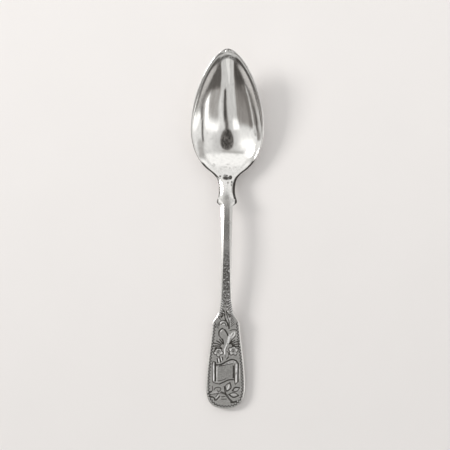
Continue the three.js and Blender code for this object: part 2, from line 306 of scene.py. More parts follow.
class SpoonShape:
    """Outline, side view and faces of the spoon, worked out from its sizes."""

    def __init__(self, sizes):
        self.sizes = sizes
        lengths = [getattr(sizes, name + "_length") for name in STRETCHES]
        stops = sum(lengths) / 2 - np.cumsum([0.0] + lengths)
        (self.y_tip, self.y_wide, self.y_close, self.y_neck, self.y_lap,
         self.y_shank, self.y_foot, self.y_corner, self.y_fiddle, self.y_end) = stops
        self.y_floor = self.y_wide - sizes.floor_behind
        self.y_hollow = self.y_tip - sizes.nose_land
        self.y_drop = self.y_neck + sizes.drop_length
        self.draw_outlines()
        self.draw_side_view()

    def draw_outlines(self):
        """Half widths from above, as rows (half width, y) from the tip to the end."""
        sizes = self.sizes
        neck = (sizes.neck_width / 2, self.y_neck)
        lap = (sizes.lap_width / 2, self.y_lap)
        wide = (sizes.bowl_width / 2, self.y_wide)
        shank = (sizes.shank_top_width / 2, self.y_shank)
        foot = (sizes.shank_foot_width / 2, self.y_foot)
        corner = (sizes.corner_width / 2, self.y_corner)
        fiddle = (sizes.fiddle_width / 2, self.y_fiddle)
        spread = (lerp(foot[0], corner[0], SPREAD_WIDTH), lerp(self.y_foot, self.y_corner, SPREAD_LENGTH))
        shoulder_y = [lerp(self.y_lap, self.y_shank, share) for share in SHOULDER_STOPS]
        shank_y = [lerp(self.y_shank, self.y_foot, share) for share in SHANK_HANDLES]
        notch = (lerp(sizes.shoulder_width / 2, shank[0], SHOULDER_CUT), shoulder_y[2])

        nose = stretch((0.0, self.y_tip), wide, *CURVES["nose"])
        heel = ellipse((0.0, self.y_wide), (wide[0], sizes.heel_length), 0.0, -HEEL_TURN, HEEL_STEPS)
        leaving = np.array([-wide[0] * math.sin(HEEL_TURN), -sizes.heel_length * math.cos(HEEL_TURN)])
        leaving *= THROAT_PULL * sizes.heel_length / np.linalg.norm(leaving)
        above_neck = (neck[0], lerp(neck[1], heel[-1, 1], 0.5))
        throat = bezier(heel[-1], heel[-1] + leaving, above_neck, neck, THROAT_STEPS)
        flare = stretch(neck, lap, *CURVES["flare"])
        point_half = sizes.shoulder_width / 2
        shoulder = bezier(lap, (point_half, shoulder_y[0]),
                          (point_half + sizes.shoulder_point, shoulder_y[1]), notch, SHOULDER_STEPS)
        step = stretch(notch, shank, *CURVES["step"])
        slimming = (lerp(sizes.shank_top_width, sizes.shank_waist_width, SHANK_EASE) / 2, shank_y[0])
        waist = (sizes.shank_waist_width / 2, shank_y[1])
        slim = bezier(shank, slimming, waist, foot, SHANK_STEPS)
        root = stretch(foot, spread, *CURVES["root"])
        turn = stretch(spread, corner, *CURVES["turn"])
        side = stretch(corner, fiddle, *CURVES["side"])
        self.end_curve = stretch(fiddle, (0.0, self.y_end), *CURVES["end"])
        drop_y = self.y_drop - sizes.drop_round
        drop_radii = (sizes.drop_width / 2, sizes.drop_round)
        drop_side = stretch(neck, (drop_radii[0], drop_y), *CURVES["drop"])
        drop_end = ellipse((0.0, drop_y), drop_radii, 0.0, math.pi / 2, DROP_STEPS)

        self.bowl_outline = join(nose, heel, throat, flare)
        self.stem_outline = join(shoulder, step, slim, root, turn, side, self.end_curve)
        self.tongue_outline = join(drop_end[::-1], drop_side[::-1], flare)

    def draw_side_view(self):
        """Heights of the rim and of the middle of the top face, along the spoon."""
        sizes = self.sizes
        self.rim = smooth_line([
            (self.y_lap, sizes.lap_height - sizes.neck_crown),
            (self.y_close, sizes.heel_height - sizes.neck_crown / 4),
            (self.y_wide - sizes.rim_low_behind, sizes.rim_low_height),
            (self.y_wide, sizes.rim_wide_height),
            (self.y_tip, sizes.tip_height),
        ])
        rim_end = float(self.rim(self.y_hollow))
        nose = [(lerp(self.y_floor, self.y_hollow, share),
                 lerp(sizes.floor_height, rim_end, bend(share, NOSE_ROUND))) for share in NOSE_STOPS]
        self.middle = smooth_line([
            (self.y_end, sizes.end_thickness),
            (self.y_corner, sizes.corner_height),
            (self.y_lap - sizes.crest_along, sizes.crest_height),
            (self.y_lap, sizes.lap_height),
            (self.y_close, sizes.heel_height),
            (lerp(self.y_close, self.y_floor, 0.5), lerp(sizes.heel_height, sizes.floor_height, HEEL_DIP)),
            (self.y_floor, sizes.floor_height),
        ] + nose)

    def bowl_half(self, y):
        """Half width of the bowl and its tab."""
        return np.interp(y, self.bowl_outline[::-1, 1], self.bowl_outline[::-1, 0])

    def stem_half(self, y):
        """Half width of the stem from its shoulders on."""
        return np.interp(y, self.stem_outline[::-1, 1], self.stem_outline[::-1, 0])

    def hollow_half(self, half, y):
        """Half width of the hollow, inside the land of the rim."""
        sizes = self.sizes
        land = lerp(sizes.rim_land, sizes.nose_land, smoothstep(y, self.y_wide, self.y_tip))
        return np.maximum(half - land, LEAST_FLAT * half)

    def roundness(self, y):
        """How round the dish is across, rounder at the tip."""
        return lerp(DISH_ROUND, TIP_DISH_ROUND, smoothstep(y, self.y_wide, self.y_tip))

    def dish(self, share, y):
        """Rise of the hollow from its middle to its rim."""
        return bend(share, self.roundness(y))

    def floor(self, y):
        """Middle of the hollow, a little shallower in the nose, where use has worn the sheet up."""
        begin, most, least = [lerp(self.y_wide, self.y_tip, share) for share in NOSE_WEAR_STOPS]
        shallow = smoothstep(y, begin, most) * (1.0 - smoothstep(y, least, self.y_hollow))
        return self.middle(y) + self.sizes.nose_wear * shallow

    def bowl_middle(self, y):
        """Middle of the bowl's top, with the land at the tip."""
        return np.where(y < self.y_hollow, self.floor(y), self.rim(y))

    def bowl_top(self, x, y, half):
        """The crowned tab, the hollow and the land round it, which meet softly in the worn nose."""
        depth = self.rim(y) - self.floor(y)
        share = np.abs(x) / self.hollow_half(half, y)
        inside = depth * (1.0 - self.dish(np.minimum(share, 1.0), y))
        rim_slope = np.abs(depth) * (4.0 - 2.0 * self.roundness(y))
        beyond = inside - rim_slope * np.maximum(share - 1.0, 0.0)
        worn = 0.5 * (beyond + np.hypot(beyond, self.sizes.rim_wear))
        nose = smoothstep(y, self.y_floor, self.y_wide + self.sizes.floor_behind)
        return self.rim(y) - lerp(inside, worn, nose)

    def bowl_back(self, x, y, half):
        """Back of the sheet, worn flat where it rests on the table."""
        sizes = self.sizes
        slope = (self.bowl_middle(y) - self.bowl_middle(y - SLOPE_STEP)) / SLOPE_STEP
        whole = smoothstep(self.y_tip - y, 0.0, sizes.tip_taper)
        sheet = lerp(sizes.rim_edge, sizes.wall * np.hypot(1.0, slope), whole)
        back_half = np.minimum(self.hollow_half(half, y) + sizes.rim_land, half)
        share = np.minimum(np.abs(x) / back_half, 1.0)
        low = lerp(self.bowl_middle(y) - sheet, self.rim(y) - sizes.rim_edge, self.dish(share, y))
        return np.maximum(low, 0.0)

    def tongue_top(self, x, y):
        """Top of the tongue, which follows the bowl's back."""
        return self.bowl_back(x, y, self.bowl_half(y)) - self.sizes.lap_gap

    def spread(self, y):
        """0 on the shank, 1 on the fiddle."""
        return smoothstep(-y, -self.y_foot, -self.y_corner)

    def gather(self, y):
        """0 on the shank, 1 at the end of the tab."""
        return smoothstep(y, self.y_shank, self.y_lap)

    def edge_distance(self, x, y, half):
        """Distance from the fiddle's edge, as if the edge were straight nearby."""
        beside = np.maximum(half - np.abs(x), 0.0)
        end_y = np.interp(np.abs(x), self.end_curve[::-1, 0], self.end_curve[::-1, 1])
        below = np.maximum(y - end_y, 0.0)
        return beside * below / np.maximum(np.hypot(beside, below), TINY)

    def flat_half(self, y, half):
        """Half width of the stem's flat top."""
        sizes = self.sizes
        growth = smoothstep(-y, -self.y_shank, -self.y_foot) ** 2
        slim = lerp(sizes.shank_facet_width, sizes.foot_facet_width, growth)
        wide = lerp(slim, sizes.neck_facet_width, self.gather(y))
        flat = np.clip(wide / 2, LEAST_FLAT * half, MOST_FLAT * half)
        begin = self.y_foot + sizes.flat_lead
        widening = smoothstep(-y, -begin, sizes.flat_run - begin)
        return lerp(flat, np.maximum(half - sizes.edge_bevel_width, MOST_FLAT * half), widening)

    def face(self, x, y, half):
        """Top of the stem: flat between bevels on the shank, flat with a soft edge on the fiddle."""
        sizes = self.sizes
        beyond = np.maximum(np.abs(x) - self.flat_half(y, half), 0.0)
        bevel = np.minimum(sizes.shank_bevel, BEVEL_SLOPE * beyond)
        crown = sizes.neck_crown * self.dish(np.minimum(np.abs(x) / self.hollow_half(half, y), 1.0), y)
        near = np.clip(1.0 - self.edge_distance(x, y, half) / sizes.edge_bevel_width, 0.0, 1.0)
        slim = lerp(bevel, crown, self.gather(y))
        return self.middle(y) - lerp(slim, sizes.edge_bevel * near ** 2, self.spread(y))

    def stem_low(self, y):
        """Lowest line of the stem's back."""
        sizes = self.sizes
        under_lap = sizes.lap_height - float(self.tongue_top(0.0, self.y_lap)) + sizes.tongue_thickness
        slim = lerp(sizes.shank_thickness, under_lap, self.gather(y))
        thin = smoothstep(-y, -self.y_fiddle, -self.y_end)
        broad = lerp(sizes.fiddle_thickness, sizes.end_thickness + sizes.end_wear, thin)
        return self.middle(y) - lerp(slim, broad, self.spread(y))

    def stem_back(self, share, y):
        """Rounded back of the stem, worn flat at its end."""
        rise = lerp(self.sizes.shank_back, self.sizes.fiddle_back, self.spread(y))
        return np.maximum(self.stem_low(y) + rise * np.abs(share) ** BACK_POWER, 0.0)

    def tongue_back(self, share, y, half):
        """Rounded back of the tongue and the drop."""
        sizes = self.sizes
        under_tab = 1.0 - smoothstep(y, self.y_lap, self.y_neck)
        thinning = smoothstep(y, self.y_neck, self.y_drop)
        thick = lerp(sizes.tongue_thickness, sizes.drop_end_thickness, thinning)
        rise = lerp(sizes.shank_back, thick - sizes.drop_edge, smoothstep(y, self.y_lap, self.y_drop))
        top = lerp(self.tongue_top(share * half, y), self.tongue_top(0.0, y), under_tab)
        return top - thick + rise * np.abs(share) ** BACK_POWER


SHARP_ANGLE = math.radians(50.0)


def rings_from(upper, lower):
    """Closed rings from chains (x, y, z) that both run from -X to +X."""
    return np.concatenate([np.stack(upper, -1), np.stack(lower, -1)[:, ::-1]], 1)


def lofted(name, rings):
    """A closed smooth mesh through rings with equal counts of points."""
    count, sides = rings.shape[:2]
    index = np.arange(count * sides).reshape(count, sides)
    beside = np.roll(index, -1, axis=1)
    quads = np.stack([index[:-1], index[1:], beside[1:], beside[:-1]], -1).reshape(-1, 4)
    faces = quads.tolist() + [index[0].tolist(), index[-1, ::-1].tolist()]
    mesh = bpy.data.meshes.new(name)
    mesh.from_pydata(rings.reshape(-1, 3).tolist(), [], faces)
    mesh.shade_smooth()
    mesh.set_sharp_from_angle(angle=SHARP_ANGLE)
    piece = bpy.data.objects.new(name, mesh)
    bpy.context.scene.collection.objects.link(piece)
    return piece


def shape_of(context):
    """The shape with the sizes that the panel shows."""
    return SpoonShape(context.scene.spoon_sizes)


def mark(piece, name, values):
    """Stores a number at each point of a piece."""
    attribute = piece.data.attributes.new(name, "FLOAT", "POINT")
    attribute.data.foreach_set("value", np.ascontiguousarray(values, np.float32).ravel())


# Tarnish spots on the heel and neck, in millimetres: place (x, y), half sizes and strength
NECK_SPOTS = [
    ((-0.3, 23.75), (2.0, 0.95), 1.3),
    ((1.5, 24.1), (0.95, 1.1), 1.3),
    ((-0.7, 24.9), (1.4, 0.6), 1.0),
    ((-3.0, 24.6), (0.7, 0.45), 0.9),
    ((0.4, 21.7), (0.45, 0.6), 0.9),
    ((2.1, 22.0), (0.45, 0.7), 0.9),
    ((2.0, 20.8), (0.4, 0.5), 0.9),
    ((-3.7, 15.6), (0.45, 0.5), 0.9),
    ((-1.2, 28.9), (1.7, 0.35), 0.5),
    ((0.4, 30.1), (1.2, 0.35), 0.3),
    ((-2.6, 27.9), (0.9, 0.5), 0.4),
    ((1.2, 28.3), (0.4, 0.6), 0.4),
    ((3.4, 28.8), (1.3, 0.3), 0.35),
    ((-6.0, 29.6), (0.9, 1.0), 0.35),
]
SPOT_FADE = (0.6, 1.1)

# Darkening along the rim, in millimetres: strength, side, begin and end along the spoon, begin and end
# inwards
RIM_DARKENING = {
    "heel_film": (0.22, "both", None, (28.0, 30.5), None, None),
    "heel_ring": (0.26, "both", None, (33.0, 37.0), (2.2, 3.2), (3.6, 4.8)),
    # Dark lines along the outer edge of the heel and neck
    "left_heel": (1.6, "left", (23.0, 25.0), (29.5, 31.5), None, (0.9, 1.15)),
    "left_neck": (1.1, "left", (15.0, 16.0), (23.0, 26.0), None, (0.4, 0.6)),
    "right_heel": (1.6, "right", None, (30.0, 34.0), None, (0.9, 1.15)),
    # Painted shade and painted dark reflections in the nose: they dim the outer lip, a line inside the land,
    # the pale band and the glint at the tip
    "nose_lip": (0.35, "both", (50.0, 60.0), None, None, (0.8, 1.2)),
    "nose_line": (0.75, "both", (50.0, 60.0), (70.0, 74.0), (1.2, 1.6), (1.9, 2.4)),
    "nose_band": (0.25, "both", (50.0, 60.0), None, None, (4.0, 5.0)),
    "tip": (0.8, "both", (78.8, 79.4), None, None, None),
}

# The arched dark line near the tip, a painted dark reflection, in millimetres
ARCH_STRENGTH = 0.85
ARCH_BEND = 6.6
ARCH_BEGIN = (75.4, 76.4)
ARCH_END = (77.0, 77.8)
ARCH_REACH = (2.5, 5.5)


def fade(value, begin, end):
    """1 past begin and short of end, pairs in millimetres over which it fades; None is an open end."""
    share = np.ones(value.shape)
    if begin:
        share = share * smoothstep(value, begin[0] * MM, begin[1] * MM)
    if end:
        share = share * (1.0 - smoothstep(value, end[0] * MM, end[1] * MM))
    return share


def stains_and_shade(x, y, inset):
    """Tarnish spots, dark edge lines, and painted shade and dark reflections on the bowl's upper side; inset
    is the distance from the outer edge.
    """
    share = np.zeros(x.shape)
    for (spot_x, spot_y), (wide, tall), strength in NECK_SPOTS:
        far = np.hypot((x / MM - spot_x) / wide, (y / MM - spot_y) / tall)
        share = np.maximum(share, strength * (1.0 - smoothstep(far, *SPOT_FADE)))
    sides = {"left": x <= 0.0, "right": x > 0.0, "both": True}
    for strength, side, y_begin, y_end, inset_begin, inset_end in RIM_DARKENING.values():
        film = strength * fade(y, y_begin, y_end) * fade(inset, inset_begin, inset_end)
        share = np.maximum(share, film * sides[side])
    arch = fade(y + x ** 2 / (ARCH_BEND * MM), ARCH_BEGIN, ARCH_END) * fade(np.abs(x), None, ARCH_REACH)
    return np.maximum(share, ARCH_STRENGTH * arch)


# Points across the faces of the bowl
BOWL_POINTS = 121
LIP_POINTS = 12
BOWL_BACK_POINTS = 73


def build_bowl(shape):
    """The dished bowl with its round lip and the tab at its heel."""
    sizes = shape.sizes
    outline = shape.bowl_outline[1:].copy()
    outline[-1, 1] += sizes.seam
    half, y = outline[:, :1], outline[:, 1:]
    hollow = shape.hollow_half(half, y)
    inside = np.linspace(-1.0, 1.0, BOWL_POINTS)[None] * hollow
    turn = np.linspace(0.0, math.pi / 2, LIP_POINTS)[None, 1:]
    lip_x = lerp(hollow, half, np.sin(turn))
    lip_z = shape.bowl_top(lip_x, y, half) - LIP_SHARE * sizes.rim_edge * (1.0 - np.cos(turn))
    upper_x = np.concatenate([-lip_x[:, ::-1], inside, lip_x], 1)
    upper_z = np.concatenate([lip_z[:, ::-1], shape.bowl_top(inside, y, half), lip_z], 1)
    lower_x = np.linspace(-1.0, 1.0, BOWL_BACK_POINTS)[None] * half
    lower_z = shape.bowl_back(lower_x, y, half)
    upper = (upper_x, np.broadcast_to(y, upper_x.shape), upper_z)
    lower = (lower_x, np.broadcast_to(y, lower_x.shape), lower_z)
    piece = lofted("silver_bowl", rings_from(upper, lower))
    # This mark carries tarnish spots, dark edge lines, and painted shade and painted dark reflections
    darkening = stains_and_shade(upper_x, upper[1], half - np.abs(upper_x))
    mark(piece, "stain", np.concatenate([darkening, 0.0 * lower_x], 1))
    return piece


# Points across the faces of the stem, and those at its edges that stay uncut
FACE_POINTS = 121
BACK_POINTS = 33
SIDE_POINTS = 3
EDGE_POINTS = 2

# Steps between the stem's sections, finer where it is engraved
PLAIN_LENGTH = 24.0 * MM
PLAIN_STEP = 0.45 * MM
SHANK_STEP = 0.2 * MM
FIDDLE_STEP = 0.148 * MM

# Darkening of the stem, in millimetres: a dark band along the right shoulder's edge, tarnish with a painted
# dark reflection on the flat top, and the darker blank ribbon
SHOULDER_DARK_LINE = 1.6
SHOULDER_ALONG = (11.8, 12.6)
SHOULDER_ACROSS = (3.45, 3.75)
SHANK_STAIN_AND_SHADE = 0.88
FIDDLE_STAIN_AND_SHADE = 0.4
SHANK_BELOW = (1.0, 12.0)
FIDDLE_BELOW = (20.0, 44.0)
RIBBON_STAIN = 0.14
RIBBON_ACROSS = ((-4.0, -3.4), (2.6, 3.2))
RIBBON_UP = ((12.8, 13.6), (19.0, 19.8))
FLAT_EDGE = (-0.1, 0.15)


def under_chain(x_edge, y, top_z, back, back_shares, bulge):
    """Lower chain of the stem's sections: the back between slightly swollen sides."""
    sides = np.linspace(0.0, 1.0, SIDE_POINTS + 2)[None, 1:-1]
    side_z = lerp(top_z[:, -1:], back[:, -1:], sides)
    side_x = x_edge + bulge * np.sin(math.pi * sides)
    low_x = back_shares * x_edge
    lower_x = np.concatenate([-side_x, low_x, side_x[:, ::-1]], 1)
    lower_z = np.concatenate([side_z, back, side_z[:, ::-1]], 1)
    return lower_x, np.broadcast_to(y, lower_x.shape), lower_z


def even_rows(outline, spacing):
    """Rows of an outline at even steps along it."""
    steps = np.hypot(*np.diff(outline, axis=0).T)
    along = np.concatenate([[0.0], np.cumsum(steps)])
    places = np.linspace(0.0, along[-1], int(along[-1] / spacing) + 1)
    return np.stack([np.interp(places, along, outline[:, i]) for i in (0, 1)], 1)


def build_stem(shape):
    """Tongue, shoulders, shank and fiddle, before the engraving is cut."""
    sizes = shape.sizes
    shares = np.linspace(-1.0, 1.0, FACE_POINTS)[None]
    back_shares = np.linspace(-1.0, 1.0, BACK_POINTS)[None]

    tongue = shape.tongue_outline[1:].copy()
    tongue[-1, 1] += sizes.seam / 2
    half, y = tongue[:, :1], tongue[:, 1:]
    top_x = shares * half
    top_z = shape.tongue_top(top_x, y)
    lower = under_chain(half, y, top_z, shape.tongue_back(back_shares, y, half), back_shares, 0.0)
    tongue_rings = rings_from((top_x, np.broadcast_to(y, top_x.shape), top_z), lower)

    outline = shape.stem_outline
    upper_part = outline[outline[:, 1] > shape.y_shank - PLAIN_LENGTH]
    shank_part = outline[(outline[:, 1] <= upper_part[-1, 1]) & (outline[:, 1] >= shape.y_foot)]
    fiddle_part = outline[outline[:, 1] <= shank_part[-1, 1]]
    rows = np.concatenate([
        even_rows(upper_part, PLAIN_STEP),
        even_rows(shank_part, SHANK_STEP)[1:],
        even_rows(fiddle_part, FIDDLE_STEP)[1:-1],
    ])
    half, y = rows[:, :1], rows[:, 1:]
    top_x = shares * half
    top_z = shape.face(top_x, y, half)
    bulge = sizes.side_bulge * (1.0 - shape.gather(y))
    lower = under_chain(half, y, top_z, shape.stem_back(back_shares, y), back_shares, bulge)
    stem_rings = rings_from((top_x, np.broadcast_to(y, top_x.shape), top_z), lower)

    rings = np.concatenate([tongue_rings, stem_rings])
    piece = lofted("silver_stem", rings)
    face = np.zeros(rings.shape[:2], np.float32)
    face[len(tongue_rings):, EDGE_POINTS:FACE_POINTS - EDGE_POINTS] = 1.0
    mark(piece, "face", face)
    across, along = rings[:, :, 0], rings[:, :, 1]
    shoulder = SHOULDER_DARK_LINE * fade(along, SHOULDER_ALONG, None) * fade(across, SHOULDER_ACROSS, None)
    # The flat top is darkened by tarnish and by a painted dark reflection
    worn = lerp(SHANK_STAIN_AND_SHADE, FIDDLE_STAIN_AND_SHADE, fade(-along, FIDDLE_BELOW, None))
    worn = worn * fade(-along, SHANK_BELOW, None)
    ribbon = RIBBON_STAIN * fade(across, *RIBBON_ACROSS) * fade(along - shape.y_end, *RIBBON_UP)
    flat = np.zeros(rings.shape[:2])
    room = shape.flat_half(y, half) - np.abs(top_x)
    flat[len(tongue_rings):, :FACE_POINTS] = fade(room, FLAT_EDGE, None)
    mark(piece, "stain", np.maximum(shoulder, (worn + ribbon) * flat))
    return piece


# Points across the solder, and shares of the lap's gap by which it stays inside the outline and the gap
SOLDER_POINTS = 41
SOLDER_INSET = 1 / 4
SOLDER_CLEAR = 1 / 20


def build_solder(shape):
    """The leaf of solder that fills the lap, just inside the tongue's outline."""
    sizes = shape.sizes
    rows = shape.tongue_outline[shape.tongue_outline[:, 1] > shape.y_lap + sizes.seam][2:]
    half, y = rows[:, :1] - SOLDER_INSET * sizes.lap_gap, rows[:, 1:]
    x = np.linspace(-1.0, 1.0, SOLDER_POINTS)[None] * half
    y = np.broadcast_to(y, x.shape)
    top = shape.tongue_top(x, y)
    clear = SOLDER_CLEAR * sizes.lap_gap
    upper, lower = (x, y, top + sizes.lap_gap - clear), (x, y, top + clear)
    return lofted("silver_solder_leaf", rings_from(upper, lower))


class Socket:
    """A node's socket; Python's operators on it add Math nodes."""

    def __init__(self, graph, socket):
        self.graph = graph
        self.socket = socket

    def math(self, operation, first, second=0.0):
        """The result of a Math node."""
        return self.graph.add("ShaderNodeMath", {"operation": operation}, {0: first, 1: second})

    def __add__(self, other):
        return self.math("ADD", self, other)

    __radd__ = __add__

    def __sub__(self, other):
        return self.math("SUBTRACT", self, other)

    def __rsub__(self, other):
        return self.math("SUBTRACT", other, self)

    def __mul__(self, other):
        return self.math("MULTIPLY", self, other)

    __rmul__ = __mul__

    def __truediv__(self, other):
        return self.math("DIVIDE", self, other)

    def __rtruediv__(self, other):
        return self.math("DIVIDE", other, self)

    def larger(self, other):
        """The larger of two values."""
        return self.math("MAXIMUM", self, other)

    def absolute(self):
        """The value without its sign."""
        return self.math("ABSOLUTE", self)

    def ramp(self, low, high):
        """Smooth rise from 0 at low to 1 at high."""
        inputs = {"Value": self, "From Min": low, "From Max": high}
        return self.graph.add("ShaderNodeMapRange", {"interpolation_type": "SMOOTHSTEP"}, inputs)


# Places of a Mix node's sockets when it mixes colours
MIX_SHARE = 0
MIX_FIRST = 6
MIX_SECOND = 7
MIX_COLOUR = 2


class Graph:
    """Adds nodes to one tree."""

    def __init__(self, tree):
        self.tree = tree
        tree.nodes.clear()

    def add(self, kind, settings=None, inputs=None, output=0):
        """A node of a kind: its settings first, then the values or links of its sockets."""
        node = self.tree.nodes.new(kind)
        for name, value in (settings or {}).items():
            setattr(node, name, value)
        for name, value in (inputs or {}).items():
            if isinstance(value, Socket):
                self.tree.links.new(value.socket, node.inputs[name])
            else:
                node.inputs[name].default_value = value
        return Socket(self, node.outputs[output]) if node.outputs else node

    def mix(self, first, second, share):
        """A colour between two colours."""
        inputs = {MIX_SHARE: share, MIX_FIRST: first, MIX_SECOND: second}
        return self.add("ShaderNodeMix", {"data_type": "RGBA"}, inputs, output=MIX_COLOUR)


def opaque(colour_value):
    """A colour with full alpha."""
    return (*colour_value, 1.0)


def noise(graph, vector, scale, detail):
    """Noise of about 0 to 1, with features of 1 / scale."""
    return graph.add("ShaderNodeTexNoise", None, {"Vector": vector, "Scale": scale, "Detail": detail})


# Marks in the metal, in steps per metre: dents, blotches, specks, and scratches that run along and across
DENTS = 140.0
BLOTCHES = 420.0
SPECKS = 1500.0
LONG_SCRATCHES = (9000.0, 350.0)
CROSS_SCRATCHES = (500.0, 7000.0)
DENT_STRENGTH = 0.35
DENT_DEPTH = 0.12 * MM

# Where each mark begins and is full, and how much it changes colour, roughness or height
SHINE_RAMP = (0.0, 0.7)
CUT_RAMP = (0.05, 0.4)
SPECK_RAMP = (0.3, 0.6)
BLOTCH_RAMP = (0.56, 0.78)
LONG_RAMP = (0.62, 0.8)
CROSS_RAMP = (0.66, 0.84)
SPECK_SHARE = 0.45
# How far the painted highlight lightens the silver
BRIGHTENING = 0.7
LINE_ROUGHNESS = 0.1
BLOTCH_ROUGHNESS = 0.06
GRIME_ROUGHNESS = 0.25
SHINE_POLISH = 0.08
LINE_HEIGHT = 0.03


def silver_material(name, clean, tarnish, roughness, dullness):
    """Polished silver with fine scratches, soft dents and dark tarnish, with painted shade and dark
    reflections where the stain marks say, and painted highlights on the bright cuts.
    """
    material = bpy.data.materials.new(name)
    material.use_nodes = True
    graph = Graph(material.node_tree)
    place = graph.add("ShaderNodeTexCoord", output="Object")

    def stretched(across, along):
        """The place, finer across or along the spoon."""
        return graph.add("ShaderNodeVectorMath", {"operation": "MULTIPLY"},
                         {0: place, 1: (across, along, across)})

    cut, stain, shine = [graph.add("ShaderNodeAttribute", {"attribute_name": mark_name}, output="Fac")
                         for mark_name in ("cut", "stain", "shine")]
    shine = shine.ramp(*SHINE_RAMP)
    dents = noise(graph, place, DENTS, 2.0)
    blotch = noise(graph, place, BLOTCHES, 4.0)
    specks = noise(graph, place, SPECKS, 3.0).ramp(*SPECK_RAMP)
    long_lines = noise(graph, stretched(*LONG_SCRATCHES), 1.0, 3.0)
    cross_lines = noise(graph, stretched(*CROSS_SCRATCHES), 1.0, 3.0)
    lines = (long_lines.ramp(*LONG_RAMP) + cross_lines.ramp(*CROSS_RAMP)) * 0.5
    film = blotch.ramp(*BLOTCH_RAMP) * dullness
    # The tarnish mix: blotches, the stain marks with their painted shade and dark reflections, and the cuts
    grime_and_shade = film.larger(stain * (1.0 - SPECK_SHARE + specks * SPECK_SHARE)) * (1.0 - shine)
    grime_and_shade = grime_and_shade.larger(cut.ramp(*CUT_RAMP))
    # A lighter copy of the silver: painted highlight on the bright cuts and on the border's other zigzag
    bright = [lerp(value, 1.0, BRIGHTENING) for value in clean]
    base = graph.mix(graph.mix(opaque(clean), opaque(bright), shine), opaque(tarnish), grime_and_shade)
    rough = roughness + lines * LINE_ROUGHNESS + (blotch - 0.5) * BLOTCH_ROUGHNESS
    rough = rough + grime_and_shade * GRIME_ROUGHNESS - shine * SHINE_POLISH
    bump = graph.add("ShaderNodeBump", None, {"Strength": DENT_STRENGTH, "Distance": DENT_DEPTH,
                                              "Height": dents + lines * LINE_HEIGHT})
    shader = graph.add("ShaderNodeBsdfPrincipled", None,
                       {"Base Color": base, "Metallic": 1.0, "Roughness": rough, "Normal": bump})
    graph.add("ShaderNodeOutputMaterial", None, {"Surface": shader})
    return material


# The table: its mottling in steps per metre, and the tone of the painted shade on its near side and where
# along it that lies
MOTTLES = 30.0
MOTTLE_SHARE = 0.2
NEAR_SHARE = 0.8
NEAR_TONE = 0.86
NEAR_TABLE = -0.14
FAR_TABLE = 0.12
TABLE_ROUGHNESS = 0.7


def table_material(stage):
    """Pale painted board, with painted shade that makes it a little darker towards the near side."""
    material = bpy.data.materials.new("pale_table")
    material.use_nodes = True
    graph = Graph(material.node_tree)
    place = graph.add("ShaderNodeTexCoord", output="Object")
    along = graph.add("ShaderNodeSeparateXYZ", None, {"Vector": place}, output="Y")
    mottle = noise(graph, place, MOTTLES, 3.0)
    near = 1.0 - along.ramp(NEAR_TABLE, FAR_TABLE)
    pale = opaque(stage.table)
    grey = opaque([value * NEAR_TONE for value in stage.table])
    base = graph.mix(pale, grey, near * NEAR_SHARE + (mottle - 0.5) * MOTTLE_SHARE)
    shader = graph.add("ShaderNodeBsdfPrincipled", None,
                       {"Base Color": base, "Roughness": TABLE_ROUGHNESS})
    graph.add("ShaderNodeOutputMaterial", None, {"Surface": shader})
    return material


# Ornament of the handle: points (x, v) in millimetres, from its axis and up from its end
STROKE_STEPS = 8
SPIRAL_POINTS = 40
SPIRAL_HEART = 0.15
PETALS = 5
PETAL_POINTS = 10
VINE = (45.5, 66.0, 1.3)


def stroke(points):
    """A smooth stroke through a few points."""
    points = np.asarray(points, float) * MM
    padded = np.concatenate([2 * points[:1] - points[1:2], points, 2 * points[-1:] - points[-2:-1]])
    t = np.linspace(0.0, 1.0, STROKE_STEPS, endpoint=False)[:, None]
    rows = []
    for before, start, finish, after in zip(padded, padded[1:], padded[2:], padded[3:]):
        way = finish - before
        turn = 2 * before - 5 * start + 4 * finish - after
        twist = 3 * start - before - 3 * finish + after
        rows.append(start + (way * t + turn * t ** 2 + twist * t ** 3) / 2)
    return np.concatenate(rows + [points[-1:]])


def arc(start, finish, bulge):
    """A stroke that bulges to the left of its way."""
    start, finish = np.asarray(start, float), np.asarray(finish, float)
    way = finish - start
    left = np.array([-way[1], way[0]]) / np.hypot(*way)
    return stroke([start, (start + finish) / 2 + left * bulge, finish])


def bold(points, gap):
    """A broad cut, made by two strokes side by side."""
    line = stroke(points)
    along = np.gradient(line, axis=0)
    left = np.stack([-along[:, 1], along[:, 0]], 1) / np.hypot(*along.T)[:, None]
    return [line + left * gap / 2 * MM, line - left * gap / 2 * MM]


def around(centre, reach, angles):
    """Points at distances and angles about a centre."""
    return (np.asarray(centre, float) + np.stack([reach * np.cos(angles), reach * np.sin(angles)], 1)) * MM


def spiral(centre, radius, begin, turns):
    """A stroke that winds out from near its centre."""
    angles = np.linspace(begin + 2 * math.pi * turns, begin, SPIRAL_POINTS)
    return around(centre, radius * np.linspace(SPIRAL_HEART, 1.0, SPIRAL_POINTS), angles)


